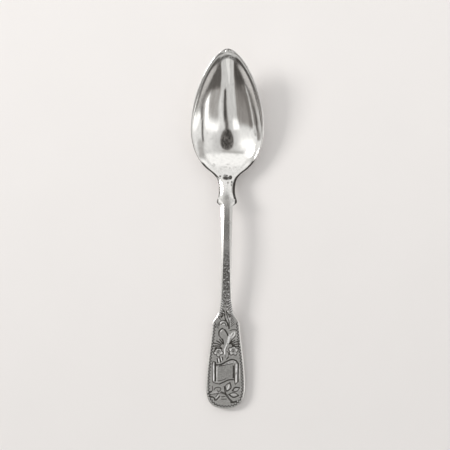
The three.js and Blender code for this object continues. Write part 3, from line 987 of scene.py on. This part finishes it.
class Ornament:
    """Gathers the strokes of each kind of cut: dark lines, fine hairs and bright cuts; the bright cuts also
    get a painted highlight.
    """

    def __init__(self):
        self.lines = []
        self.hairs = []
        self.brights = []

    def leaf(self, base, tip, width, heavy):
        """A pointed leaf with a bright middle; heavy says which side of its way is cut broader."""
        base, tip = np.asarray(base, float), np.asarray(tip, float)
        way = tip - base
        left = np.array([-way[1], way[0]]) / np.hypot(*way)
        self.lines.append(arc(base, tip, -heavy * width / 2))
        self.lines += bold([base, (base + tip) / 2 + left * heavy * width / 2, tip], 0.22)
        self.brights.append(stroke([base + way * 0.2, base + way * 0.72]))

    def rose(self, centre, radius, turn):
        """A small open rose: round petals, each with a bright fold, about a curled heart."""
        centre = np.asarray(centre, float)
        puff = radius * (0.68 + 0.32 * np.sin(np.linspace(0.0, math.pi, PETAL_POINTS)))
        for i in range(PETALS):
            angles = turn + 2 * math.pi * (i + np.linspace(0.06, 0.94, PETAL_POINTS)) / PETALS
            self.lines.append(around(centre, puff, angles))
            fold = turn + 2 * math.pi * (i + 0.5) / PETALS
            way = radius * np.array([math.cos(fold), math.sin(fold)])
            side = np.array([-way[1], way[0]])
            start, finish = centre + 0.58 * way - 0.2 * side, centre + 0.6 * way + 0.22 * side
            self.brights.append(stroke([start, finish]))
        self.hairs.append(spiral(centre, 0.34 * radius, turn, 1.2))

    def curl(self, centre, radius, begin, turns, tail):
        """A spiral that runs out into a tail."""
        line = spiral(centre, radius, begin, turns)
        self.lines += [line, stroke([line[-1] / MM, *tail])]

    def fern(self, base, tips):
        """Rays that fan out from one point."""
        base = np.asarray(base, float)
        for tip in np.asarray(tips, float):
            self.lines += bold([lerp(base, tip, 0.36), lerp(base, tip, 0.7) + (0.0, 0.2), tip], 0.14)

    def ribbon(self):
        """A blank ribbon whose sides are rolled up and whose ends are wavy."""
        top_edge = [(-4.9, 19.9), (-2.3, 20.1), (0.4, 21.5), (2.7, 22.4), (4.6, 21.9), (5.2, 21.0)]
        self.lines += bold(top_edge, 0.25)
        self.lines += bold([(-4.6, 21.2), (-4.65, 17.0), (-4.6, 12.6)], 0.42)
        self.lines += bold([(-2.7, 11.3), (-0.7, 12.2), (0.9, 13.0), (2.5, 13.3), (3.9, 13.2)], 0.2)
        self.lines += [
            stroke([(-6.0, 14.0), (-6.0, 20.5), (-5.3, 21.4), (-4.6, 21.0)]),
            stroke([(-6.0, 14.0), (-5.7, 12.2), (-4.0, 11.5), (-2.7, 11.3)]),
            stroke([(4.1, 20.2), (4.1, 12.0), (4.7, 11.5), (5.4, 12.2)]),
        ]
        self.lines += bold([(3.4, 19.6), (3.4, 14.0)], 0.3)
        self.lines += bold([(5.6, 20.8), (5.6, 12.3)], 0.3)
        self.hairs += [
            stroke([(-3.0, 19.3), (-0.6, 19.7), (1.0, 20.2), (3.2, 20.5)]),
            stroke([(-3.5, 12.7), (-1.6, 13.0), (0.2, 13.8)]),
        ]
        self.brights += bold([(-3.9, 19.7), (-1.3, 20.0), (1.0, 20.8), (3.3, 21.5), (4.6, 21.2)], 0.2)
        self.brights += bold([(-5.3, 20.4), (-5.35, 16.0)], 0.25)
        self.brights += bold([(4.85, 20.2), (4.8, 16.5)], 0.25)
        self.brights += [
            stroke([(-5.3, 16.0), (-5.3, 12.8)]),
            stroke([(-4.05, 18.9), (-4.05, 12.4)]),
            stroke([(4.75, 15.6), (4.75, 12.2)]),
            stroke([(5.95, 19.6), (5.95, 14.0)]),
        ]

    def spray(self):
        """The branch under the ribbon, with a lobed leaf and three plain leaves."""
        self.lines += bold([(-2.1, 7.6), (-0.8, 7.1), (0.2, 6.6), (1.5, 4.8), (2.8, 3.5)], 0.5)
        self.lines += bold([(2.3, 3.0), (3.6, 3.1), (5.1, 3.5)], 0.45)
        self.lines += bold([(0.1, 6.8), (-0.3, 8.4), (-0.6, 10.2)], 0.2)
        self.lines += bold([(-8.0, 6.6), (-7.1, 7.4), (-6.2, 7.9)], 0.25)
        self.lines += bold([(-7.5, 5.8), (-5.9, 5.4), (-5.0, 4.8), (-4.8, 3.9)], 0.22)
        self.lines += bold([(-4.8, 3.9), (-3.8, 4.3), (-2.6, 5.8)], 0.22)
        self.lines += [
            stroke([(-6.0, 10.3), (-5.8, 8.8), (-6.2, 7.9)]),
            stroke([(-5.2, 8.6), (-4.6, 9.4), (-3.4, 9.8), (-2.2, 9.4), (-2.3, 8.4), (-3.4, 7.7)]),
            stroke([(-1.8, 5.5), (-0.2, 5.7)]),
            stroke([(-1.8, 4.4), (0.4, 4.5)]),
        ]
        self.hairs += [
            stroke([(-2.4, 7.2), (-4.6, 6.8), (-6.8, 6.6)]),
            stroke([(-3.4, 6.8), (-4.4, 5.4)]),
            stroke([(-3.2, 7.4), (-3.8, 8.7)]),
        ]
        self.brights += [
            stroke([(-3.2, 7.6), (-4.8, 7.6), (-6.0, 7.2)]),
            stroke([(-3.4, 6.0), (-4.2, 5.2)]),
            stroke([(-0.2, 7.4), (1.4, 5.6), (2.6, 4.2)]),
        ]
        self.leaf((0.5, 8.0), (1.9, 12.0), 2.6, -1)
        self.leaf((3.0, 8.2), (6.4, 9.6), 1.9, 1)
        self.leaf((1.4, 6.6), (6.0, 6.2), 2.2, -1)

    def flowers(self):
        """Two roses between ferns, over the ribbon, and the small leaves below them."""
        self.rose((-3.3, 25.8), 2.3, 0.3)
        self.rose((3.4, 26.4), 2.4, 0.9)
        self.lines += bold([(-5.1, 25.9), (-4.6, 27.0), (-3.3, 27.6), (-2.0, 27.2)], 0.2)
        self.fern((-0.6, 28.3), [(-5.8, 28.3), (-5.3, 29.7), (-4.2, 30.8), (-2.9, 31.5), (-1.5, 31.7)])
        self.fern((0.9, 28.5), [(6.2, 28.0), (6.2, 29.4), (5.4, 30.6), (4.0, 31.1), (2.6, 30.9)])
        self.brights.append(stroke([(0.4, 29.4), (-0.4, 27.4), (-0.4, 24.8)]))
        self.hairs.append(stroke([(0.6, 28.4), (0.1, 27.0), (0.1, 25.0), (-0.3, 23.2)]))
        self.lines.append(arc((0.6, 26.0), (1.2, 24.2), 0.4))
        for start, finish in [((-3.9, 22.9), (-3.5, 20.9)), ((-2.7, 23.2), (-2.2, 21.2)),
                              ((-1.6, 23.4), (-1.3, 22.1)), ((1.3, 23.6), (0.4, 22.5))]:
            self.lines += bold([start, finish], 0.2)
        self.brights += [stroke([(-3.2, 22.8), (-2.9, 21.2)]), stroke([(-2.1, 23.2), (-1.7, 21.9)])]

    def bud(self):
        """The bud with an opening petal, on its stalk, and the scroll beside it."""
        self.lines += bold([(-3.1, 33.3), (-3.1, 34.9), (-2.4, 35.9), (-1.5, 36.4)], 0.25)
        self.lines += bold([(-0.6, 35.9), (0.4, 34.4), (0.9, 33.1)], 0.3)
        self.lines += [
            stroke([(-1.5, 36.4), (-0.6, 35.9)]),
            stroke([(-3.1, 33.2), (-1.6, 31.1), (-1.0, 29.1)]),
            stroke([(1.8, 35.5), (3.2, 35.9), (4.6, 35.8)]),
            stroke([(4.4, 33.2), (3.5, 32.0), (2.2, 30.9)]),
            stroke([(-3.2, 38.0), (-2.7, 39.5), (-1.2, 40.1), (0.3, 39.2), (0.7, 37.5)]),
            stroke([(-2.2, 38.0), (-1.4, 38.8), (-0.4, 38.7), (0.1, 37.3)]),
            stroke([(0.0, 44.4), (0.5, 42.0), (1.3, 39.6), (1.6, 36.4)]),
            stroke([(-0.5, 43.5), (-0.4, 40.3), (0.9, 38.7), (1.2, 36.2)]),
        ]
        self.brights += bold([(1.6, 33.6), (1.2, 31.7), (0.7, 29.8)], 0.35)
        self.brights += [
            stroke([(1.8, 32.7), (2.8, 34.5), (3.8, 35.0), (3.7, 33.7), (2.7, 32.4), (1.8, 32.7)]),
            stroke([(-2.7, 38.6), (-2.0, 39.5), (-1.2, 39.5)]),
            stroke([(-1.2, 38.3), (-0.6, 38.2)]),
            stroke([(0.3, 43.2), (0.8, 41.0), (1.7, 38.6)]),
            stroke([(-2.6, 35.0), (-1.9, 35.8)]),
        ]

    def scrolls(self):
        """Curls, small leaves and fine hatching where the shank spreads."""
        self.curl((-1.7, 42.2), 1.0, 0.4, 1.2, [(-0.4, 41.0), (0.2, 39.9)])
        self.curl((1.7, 42.0), 0.8, 2.6, -1.2, [(0.9, 43.0), (0.2, 44.0)])
        self.lines += [
            stroke([(-0.6, 44.0), (-1.7, 45.2)]),
            stroke([(0.6, 44.6), (1.6, 45.7)]),
            stroke([(-2.6, 40.4), (-3.3, 41.6)]),
        ]
        for i in range(5):
            self.hairs.append(stroke([(2.2, 37.2 + 0.8 * i), (3.9 - 0.25 * i, 38.6 + 0.9 * i)]))
            self.hairs.append(stroke([(-0.6 - 0.3 * i, 43.6 - 0.6 * i), (-1.6 - 0.4 * i, 44.4 - 0.6 * i)]))
            self.hairs.append(stroke([(-3.4 - 0.3 * i, 39.4 - 0.5 * i), (-2.6 - 0.2 * i, 38.4 - 0.5 * i)]))
        for i in range(7):
            for side in (-1, 1):
                reach = 2.9 - 0.19 * i
                v = 43.4 + 0.95 * i + 0.3 * side
                self.hairs.append(stroke([(side * (reach - 1.0), v), (side * reach, v + 0.8)]))
                self.brights.append(stroke([(side * (reach - 0.5), v - 0.1), (side * reach, v + 0.3)]))
        self.brights += [
            stroke([(-2.9, 42.0), (-2.2, 43.4), (-1.2, 43.5)]),
            stroke([(0.9, 41.4), (1.6, 40.7), (2.5, 41.2)]),
            stroke([(0.9, 44.0), (0.5, 45.4)]),
        ]

    def vine(self, first, last, pitch):
        """A fine running scroll up the shank, with a small leaf in each bend."""
        for i in range(int((last - first) / pitch)):
            side = (-1) ** i
            v = first + pitch * (i + 0.2 * math.sin(2.4 * i))
            turn = 0.5 * math.pi * (1 - side)
            self.hairs.append(spiral((0.5 * side, v + 0.4 * pitch), 0.42 * pitch, turn, side * 1.1))
            self.hairs.append(stroke([(-0.5 * side, v + 0.3 * pitch), (-1.35 * side, v + 0.8 * pitch)]))
            reach = 0.9 + 0.35 * math.sin(1.7 * i)
            leaf = [(reach * side, v + 0.8 * pitch), ((reach - 0.25) * side, v + pitch)]
            self.brights.append(stroke(leaf))


def draw_ornament():
    """All the strokes of the handle."""
    ornament = Ornament()
    ornament.spray()
    ornament.ribbon()
    ornament.flowers()
    ornament.bud()
    ornament.scrolls()
    ornament.vine(*VINE)
    return ornament


def tool_path(name, strokes, shape):
    """Strokes laid on the handle's face, as one curve object."""
    data = bpy.data.curves.new(name, "CURVE")
    data.dimensions = "3D"
    for line in strokes:
        x, y = line[:, 0], shape.y_end + line[:, 1]
        z = shape.face(x, y, shape.stem_half(y))
        spline = data.splines.new("POLY")
        spline.points.add(len(line) - 1)
        spline.points.foreach_set("co", np.stack([x, y, z, np.ones_like(x)], 1).ravel())
    path = bpy.data.objects.new(name, data)
    bpy.context.scene.collection.objects.link(path)
    return path


# The border: how far above the corners it begins, its steps, its gap at the axis, and the strength of the
# painted highlight along its other zigzag
BORDER_ABOVE = 1.5 * MM
BORDER_STEP = 0.3 * MM
BORDER_MIDDLE = 0.1 * MM
ROPE_HIGHLIGHT = 0.5


def border_guide(shape, inset):
    """Line along the fiddle's edge, a little inside it, from corner to corner round the end."""
    top = shape.y_corner + BORDER_ABOVE
    rows = even_rows(shape.stem_outline[shape.stem_outline[:, 1] < top], BORDER_STEP)
    along = np.gradient(rows, axis=0)
    inward = np.stack([along[:, 1], -along[:, 0]], 1)
    inward /= np.linalg.norm(inward, axis=1, keepdims=True)
    side = rows + inward * inset
    side = side[side[:, 0] > BORDER_MIDDLE]
    side[:, 1] -= shape.y_end
    return np.concatenate([side, side[::-1] * (-1, 1)])


# Inputs of the engraving: its tool paths, and the sizes that have the same names in EngravingSizes
PATH_INPUTS = ("Lines", "Hairs", "Brights", "Border")
SIZE_INPUTS = ("Line Width", "Line Depth", "Hair Width", "Hair Depth", "Bright Width", "Bright Depth",
               "Wriggle Width", "Wriggle Depth", "Wriggle Pitch", "Wriggle Swing")


def engraving_tree():
    """Cuts tool paths into the marked face as V grooves, and marks how deep each point is cut and where a
    highlight is painted.
    """
    tree = bpy.data.node_groups.new("cut_engraving", "GeometryNodeTree")
    inputs = {"Geometry": "NodeSocketGeometry", "Finish": "NodeSocketMaterial"}
    inputs.update({name: "NodeSocketObject" for name in PATH_INPUTS})
    inputs.update({name: "NodeSocketFloat" for name in SIZE_INPUTS})
    for name, kind in inputs.items():
        tree.interface.new_socket(name, in_out="INPUT", socket_type=kind)
    tree.interface.new_socket("Geometry", in_out="OUTPUT", socket_type="NodeSocketGeometry")
    graph = Graph(tree)
    group = graph.add("NodeGroupInput").socket.node

    def given(name):
        """An input of the tree."""
        return Socket(graph, group.outputs[name])

    def curve_of(name):
        """The curve of a tool path."""
        return graph.add("GeometryNodeObjectInfo", {"transform_space": "ORIGINAL"},
                         {"Object": given(name)}, output="Geometry")

    def vector(operation, first, second):
        """The result of a Vector Math node."""
        slot = 3 if operation == "SCALE" else 1
        return graph.add("ShaderNodeVectorMath", {"operation": operation}, {0: first, slot: second})

    def groove(curve, width):
        """1 in the middle of a cut, 0 from its edges on."""
        wire = graph.add("GeometryNodeCurveToMesh", None, {"Curve": curve})
        away = graph.add("GeometryNodeProximity", {"target_element": "EDGES"}, {0: wire}, output="Distance")
        return (1.0 - away / (given(width) * 0.5)).larger(0.0)

    border = graph.add("GeometryNodeResampleCurve", {"mode": "LENGTH"},
                       {"Curve": curve_of("Border"), "Length": given("Wriggle Pitch") * 0.5})
    index = graph.add("GeometryNodeInputIndex")
    side = index.math("MODULO", index, 2.0) * 2.0 - 1.0
    tangent = graph.add("GeometryNodeInputTangent")
    square = vector("CROSS_PRODUCT", tangent, (0.0, 0.0, 1.0))
    swing = side * given("Wriggle Swing")
    wriggle, highlight_wriggle = [
        graph.add("GeometryNodeSetPosition", None,
                  {"Geometry": border, "Offset": vector("SCALE", square, reach)})
        for reach in (swing, 0.0 - swing)]

    cuts = [
        (groove(curve_of("Lines"), "Line Width"), given("Line Depth")),
        (groove(curve_of("Hairs"), "Hair Width"), given("Hair Depth")),
        (groove(wriggle, "Wriggle Width"), given("Wriggle Depth")),
    ]
    bright = groove(curve_of("Brights"), "Bright Width")
    rope_highlight = groove(highlight_wriggle, "Wriggle Width") * ROPE_HIGHLIGHT
    face = graph.add("GeometryNodeInputNamedAttribute", {"data_type": "FLOAT"}, {"Name": "face"})
    depth = bright * given("Bright Depth")
    for groove_share, groove_depth in cuts:
        depth = depth.larger(groove_share * groove_depth)
    share = cuts[0][0].larger(cuts[1][0]).larger(cuts[2][0])
    marked = graph.add("GeometryNodeStoreNamedAttribute", {"data_type": "FLOAT", "domain": "POINT"},
                       {"Geometry": given("Geometry"), "Name": "cut", "Value": share * face})
    # Painted highlight: the bright cuts, and the border's other zigzag, which is not cut
    shining = graph.add("GeometryNodeStoreNamedAttribute", {"data_type": "FLOAT", "domain": "POINT"},
                        {"Geometry": marked, "Name": "shine", "Value": bright.larger(rope_highlight) * face})
    down = vector("SCALE", (0.0, 0.0, -1.0), depth * face)
    carved = graph.add("GeometryNodeSetPosition", None, {"Geometry": shining, "Offset": down})
    real = graph.add("GeometryNodeRealizeInstances", None, {"Geometry": carved})
    done = graph.add("GeometryNodeSetMaterial", None, {"Geometry": real, "Material": given("Finish")})
    graph.add("NodeGroupOutput", None, {"Geometry": done})
    return tree


def apply_tree(piece, tree, values):
    """Runs a geometry tree on a piece and keeps its result as a plain mesh."""
    modifier = piece.modifiers.new(tree.name, "NODES")
    modifier.node_group = tree
    for socket in tree.interface.items_tree:
        if socket.in_out == "INPUT" and socket.name in values:
            modifier[socket.identifier] = values[socket.name]
    evaluated = piece.evaluated_get(bpy.context.evaluated_depsgraph_get())
    mesh = bpy.data.meshes.new_from_object(evaluated)
    piece.modifiers.clear()
    mesh.name = piece.name
    piece.data = mesh


def engrave(piece, shape, cuts, finish):
    """Cuts the ornament and the border into the stem's face."""
    ornament = draw_ornament()
    strokes = (ornament.lines, ornament.hairs, ornament.brights, [border_guide(shape, cuts.border_inset)])
    paths = {name: tool_path("engraving_" + name.lower(), lines, shape)
             for name, lines in zip(PATH_INPUTS, strokes)}
    values = {name: getattr(cuts, name.lower().replace(" ", "_")) for name in SIZE_INPUTS}
    apply_tree(piece, engraving_tree(), {**paths, **values, "Finish": finish})
    for path in paths.values():
        bpy.data.objects.remove(path)


def set_in_frame(piece, node):
    """Lets a finished piece stand for its node."""
    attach(piece, "root")
    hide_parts(node)


class SPOON_OT_bowl(bpy.types.Operator):
    """Makes the dished bowl of polished silver"""

    bl_idname = "spoon.bowl"
    bl_label = "Bowl"

    def execute(self, context):
        finish = context.scene.spoon_finish
        piece = build_bowl(shape_of(context))
        material = silver_material("polished_silver", finish.silver, finish.tarnish,
                                   finish.bowl_roughness, finish.bowl_dullness)
        piece.data.materials.append(material)
        set_in_frame(piece, "bowl")
        return {"FINISHED"}


class SPOON_OT_stem(bpy.types.Operator):
    """Makes the stem and cuts its engraving"""

    bl_idname = "spoon.stem"
    bl_label = "Engraved Stem"

    def execute(self, context):
        finish = context.scene.spoon_finish
        shape = shape_of(context)
        piece = build_stem(shape)
        material = silver_material("engraved_silver", finish.worn_silver, finish.tarnish,
                                   finish.stem_roughness, finish.stem_dullness)
        engrave(piece, shape, context.scene.spoon_engraving, material)
        set_in_frame(piece, "stem")
        return {"FINISHED"}


class SPOON_OT_solder(bpy.types.Operator):
    """Makes the leaf of solder in the lap joint"""

    bl_idname = "spoon.solder"
    bl_label = "Solder"

    def execute(self, context):
        finish = context.scene.spoon_finish
        piece = build_solder(shape_of(context))
        material = silver_material("silver_solder", finish.solder, finish.tarnish,
                                   finish.solder_roughness, finish.solder_dullness)
        piece.data.materials.append(material)
        set_in_frame(piece, "solder_sheet")
        return {"FINISHED"}


# The window that lights the spoon: its direction from there, its distance and side in metres, its radiance
WINDOW_AZIMUTH = math.radians(160.0)
WINDOW_FROM_ZENITH = math.radians(57.0)
WINDOW_DISTANCE = 2.6
WINDOW_SIDE = 0.81
WINDOW_RADIANCE = 18.2


def key_window(tint):
    """A soft square lamp, aimed at the spoon."""
    data = bpy.data.lights.new("key_window", "AREA")
    data.shape = "SQUARE"
    data.size = WINDOW_SIDE
    data.energy = WINDOW_RADIANCE * math.pi * WINDOW_SIDE ** 2
    data.color = tint
    lamp = bpy.data.objects.new("key_window", data)
    level = math.sin(WINDOW_FROM_ZENITH)
    way = Vector((level * math.cos(WINDOW_AZIMUTH), level * math.sin(WINDOW_AZIMUTH),
                  math.cos(WINDOW_FROM_ZENITH)))
    lamp.location = way * WINDOW_DISTANCE
    lamp.rotation_euler = (-way).to_track_quat("-Z", "Y").to_euler()
    bpy.context.scene.collection.objects.link(lamp)


# What the metal mirrors, in degrees from overhead: middle (right, away), sizes, turn, softness, brightness
ROOM = [
    ("ceiling", (4.0, 5.0), (52.0, 34.0), 0.0, 12.0, 0.55),
    ("far_wall", (0.0, 55.5), (150.0, 68.0), 0.0, 4.0, 0.92),
    ("far_corner", (52.0, 22.0), (40.0, 8.0), 20.0, 4.0, 0.62),
    ("beam", (-12.0, 18.5), (44.0, 4.5), -5.0, 3.5, 0.36),
    ("far_left", (-63.0, 32.0), (26.0, 40.0), 15.0, 9.0, 0.55),
    ("right_cupboard", (63.0, 20.0), (20.0, 42.0), 0.0, 6.0, 0.42),
    ("left_window_glow", (-45.0, 5.0), (36.0, 8.0), 0.0, 11.0, 1.4),
    ("left_frame", (-78.0, -8.0), (8.0, 18.0), 0.0, 2.0, 0.22),
    ("left_frame_inner", (-69.0, -11.0), (4.0, 9.0), 8.0, 1.5, 0.3),
    ("near_left", (-70.0, -60.0), (110.0, 86.0), 0.0, 5.0, 0.26),
    ("near_left_low", (-64.0, -64.0), (64.0, 44.0), 0.0, 14.0, 0.07),
    ("left_shade", (-61.5, -33.0), (9.0, 34.0), -5.5, 3.0, 0.17),
    ("left_slit", (-68.8, -30.0), (2.8, 42.0), -5.5, 1.2, 0.7),
    ("left_jamb", (-77.0, -30.0), (4.5, 34.0), -3.0, 1.2, 0.07),
    ("left_outer", (-86.0, -28.0), (9.0, 36.0), 0.0, 1.2, 0.6),
    ("near_right", (66.0, -62.0), (80.0, 70.0), 0.0, 6.0, 0.36),
    ("near_right_low", (70.0, -66.0), (76.0, 44.0), 0.0, 3.0, 0.1),
    ("near_gap", (-20.6, -50.1), (22.0, 84.0), -19.0, 2.5, 0.58),
    ("near_gap_right", (18.6, -59.4), (30.0, 112.0), 34.0, 2.5, 0.56),
    ("right_curtain", (38.0, -28.0), (36.0, 14.0), -36.0, 5.0, 0.36),
    ("left_ledge", (-19.0, -15.5), (14.0, 10.0), 6.0, 2.5, 1.15),
    ("right_ledge", (36.0, -15.5), (34.0, 11.0), -10.0, 4.0, 1.1),
    ("right_strip", (57.5, -29.0), (29.0, 6.5), -54.0, 2.5, 1.6),
    ("right_sill", (85.0, -25.0), (18.0, 20.0), -30.0, 4.0, 1.25),
    ("dark_frame", (61.0, -11.0), (5.0, 28.0), 21.0, 1.5, 0.08),
    ("dark_frame_low", (75.0, -34.0), (4.5, 24.0), 35.0, 1.5, 0.08),
    ("post", (7.2, -30.5), (8.5, 25.0), 17.0, 1.8, 0.05),
    ("post_foot", (1.5, -15.0), (7.0, 10.0), 5.0, 2.0, 0.1),
]

# Tones of the bare room and under the horizon, and how strong the whole is
BARE_TONE = 0.74
LOW_TONE = 0.7
NEAR_LOW_TONE = 0.08
NEAR_LOW_RAMP = (26.0, 48.0)
HORIZON_RAMP = (0.02, 0.1)
TINT_RAMP = (0.1, 0.6)
ROOM_STRENGTH = 1.09
LEAST_LEVEL = 1e-4

# The dark patch overhead, in degrees, and the streaks and clutter that break the room up
OVERHEAD = (0.5, 2.0)
OVERHEAD_RADIUS = 12.8
OVERHEAD_SOFT = 1.2
OVERHEAD_TONE = 0.03
STREAK_POINT = 30.0
STREAK_NEAREST = 8.0
STREAK_RAMP = (8.0, 24.0)
STREAKS = 22.0
STREAK_DEPTH = 0.9
CLUTTER = 0.16
CLUTTER_DEPTH = 0.5
DAPPLES = 0.3
DAPPLE_RAMP = (0.45, 0.7)
DAPPLE_DEPTH = 0.25


def room_light(world, stage):
    """A pale room with windows left and right, dark on the near side and right overhead."""
    world.use_nodes = True
    graph = Graph(world.node_tree)
    way = graph.add("ShaderNodeTexCoord", output="Generated")
    split = graph.add("ShaderNodeSeparateXYZ", None, {"Vector": way}).socket.node
    x, y, z = [Socket(graph, split.outputs[name]) for name in "XYZ"]
    from_zenith = z.math("ARCCOSINE", z) * (180.0 / math.pi)
    level = z.math("SQRT", x * x + y * y).larger(LEAST_LEVEL)
    right = x / level * from_zenith
    away = y / level * from_zenith
    near = 0.0 - away

    def inside(middle, size, turn, soft):
        """1 inside a turned rectangle, 0 outside it."""
        cos, sin = math.cos(math.radians(turn)), math.sin(math.radians(turn))
        across = (right - middle[0]) * cos + (away - middle[1]) * sin
        along = (away - middle[1]) * cos - (right - middle[0]) * sin
        edges = [side.absolute().ramp(reach / 2 - soft, reach / 2 + soft)
                 for side, reach in zip((across, along), size)]
        return (1.0 - edges[0]) * (1.0 - edges[1])

    tone = BARE_TONE
    for _, middle, size, turn, soft, brightness in ROOM:
        mask = inside(middle, size, turn, soft)
        tone = tone + mask * (brightness - tone)
    spokes = right / (STREAK_POINT - away).larger(STREAK_NEAREST)
    fan = graph.add("ShaderNodeCombineXYZ", None, {"X": spokes})
    streaks = (noise(graph, fan, STREAKS, 2.0) - 0.5) * STREAK_DEPTH
    tone = tone * (1.0 + streaks * near.ramp(*STREAK_RAMP))
    flat = graph.add("ShaderNodeCombineXYZ", None, {"X": right, "Y": away})
    tone = tone * (1.0 + (noise(graph, flat, CLUTTER, 3.0) - 0.5) * CLUTTER_DEPTH)
    off_x, off_y = right - OVERHEAD[0], away - OVERHEAD[1]
    off = off_x * off_x + off_y * off_y
    disc = 1.0 - off.ramp(*[(OVERHEAD_RADIUS + soft) ** 2 for soft in (-OVERHEAD_SOFT, OVERHEAD_SOFT)])
    overhead = OVERHEAD_TONE + noise(graph, flat, DAPPLES, 2.0).ramp(*DAPPLE_RAMP) * DAPPLE_DEPTH
    tone = tone + disc * (overhead - tone)
    low_tone = LOW_TONE - near.ramp(*NEAR_LOW_RAMP) * (LOW_TONE - NEAR_LOW_TONE)
    tone = tone + (1.0 - z.ramp(*HORIZON_RAMP)) * (low_tone - tone)
    tint = graph.mix(opaque(stage.shade), opaque(stage.wall), tone.ramp(*TINT_RAMP))
    tinted = graph.add("ShaderNodeVectorMath", {"operation": "SCALE"}, {0: tint, 3: tone})
    glow = graph.add("ShaderNodeBackground", None, {"Color": tinted, "Strength": ROOM_STRENGTH})
    graph.add("ShaderNodeOutputWorld", None, {"Surface": glow})


# Half the table's side, and how far it lies under the spoon
TABLE_HALF = 6.0
TABLE_GAP = 0.2 * MM


class SPOON_OT_stage(bpy.types.Operator):
    """Makes the camera, the pale table and the light"""

    bl_idname = "spoon.stage"
    bl_label = "Stage"

    def execute(self, context):
        scene = context.scene
        stage = scene.spoon_stage
        data = bpy.data.cameras.new("overhead_camera")
        data.lens = data.sensor_width * stage.camera_height / stage.view_width
        camera = bpy.data.objects.new("overhead_camera", data)
        camera.location = (stage.view_x, stage.view_y, stage.camera_height)
        camera.rotation_euler = (0.0, 0.0, stage.view_roll)
        scene.collection.objects.link(camera)
        scene.camera = camera

        table = bpy.data.meshes.new("table")
        corners = [(x * TABLE_HALF, y * TABLE_HALF, -TABLE_GAP)
                   for x, y in ((-1, -1), (1, -1), (1, 1), (-1, 1))]
        table.from_pydata(corners, [], [(0, 1, 2, 3)])
        table.materials.append(table_material(stage))
        floor = bpy.data.objects.new("table", table)
        scene.collection.objects.link(floor)

        key_window(stage.window)
        scene.world = bpy.data.worlds.new("room")
        room_light(scene.world, stage)
        scene.view_settings.view_transform = "Standard"
        return {"FINISHED"}


class SPOON_PT_panel(bpy.types.Panel):
    """Lists the spoon's pieces and sizes"""

    bl_idname = "SPOON_PT_panel"
    bl_label = "Christening Spoon"
    bl_space_type = "VIEW_3D"
    bl_region_type = "UI"
    bl_category = "Spoon"

    def draw(self, context):
        column = self.layout.column()
        for operator in OPERATORS:
            column.operator(operator.bl_idname)
        for name in SETTINGS:
            group = getattr(context.scene, name)
            for prop in group.bl_rna.properties:
                if prop.identifier not in {"rna_type", "name"}:
                    column.prop(group, prop.identifier)


OPERATORS = (SPOON_OT_stage, SPOON_OT_bowl, SPOON_OT_solder, SPOON_OT_stem)
SETTINGS = {
    "spoon_sizes": SpoonSizes,
    "spoon_engraving": EngravingSizes,
    "spoon_finish": SilverFinish,
    "spoon_stage": StageSettings,
}


def register():
    """Adds the settings, the operators and the panel."""
    for group in (*SETTINGS.values(), *OPERATORS, SPOON_PT_panel):
        bpy.utils.register_class(group)
    for name, group in SETTINGS.items():
        setattr(bpy.types.Scene, name, bpy.props.PointerProperty(type=group))


def unregister():
    """Takes them away again."""
    for name in SETTINGS:
        delattr(bpy.types.Scene, name)
    for group in reversed((*SETTINGS.values(), *OPERATORS, SPOON_PT_panel)):
        bpy.utils.unregister_class(group)


def main():
    """Makes the stage and each piece."""
    register()
    bpy.ops.spoon.stage()
    bpy.ops.spoon.bowl()
    bpy.ops.spoon.solder()
    bpy.ops.spoon.stem()


if __name__ == "__main__":
    main()
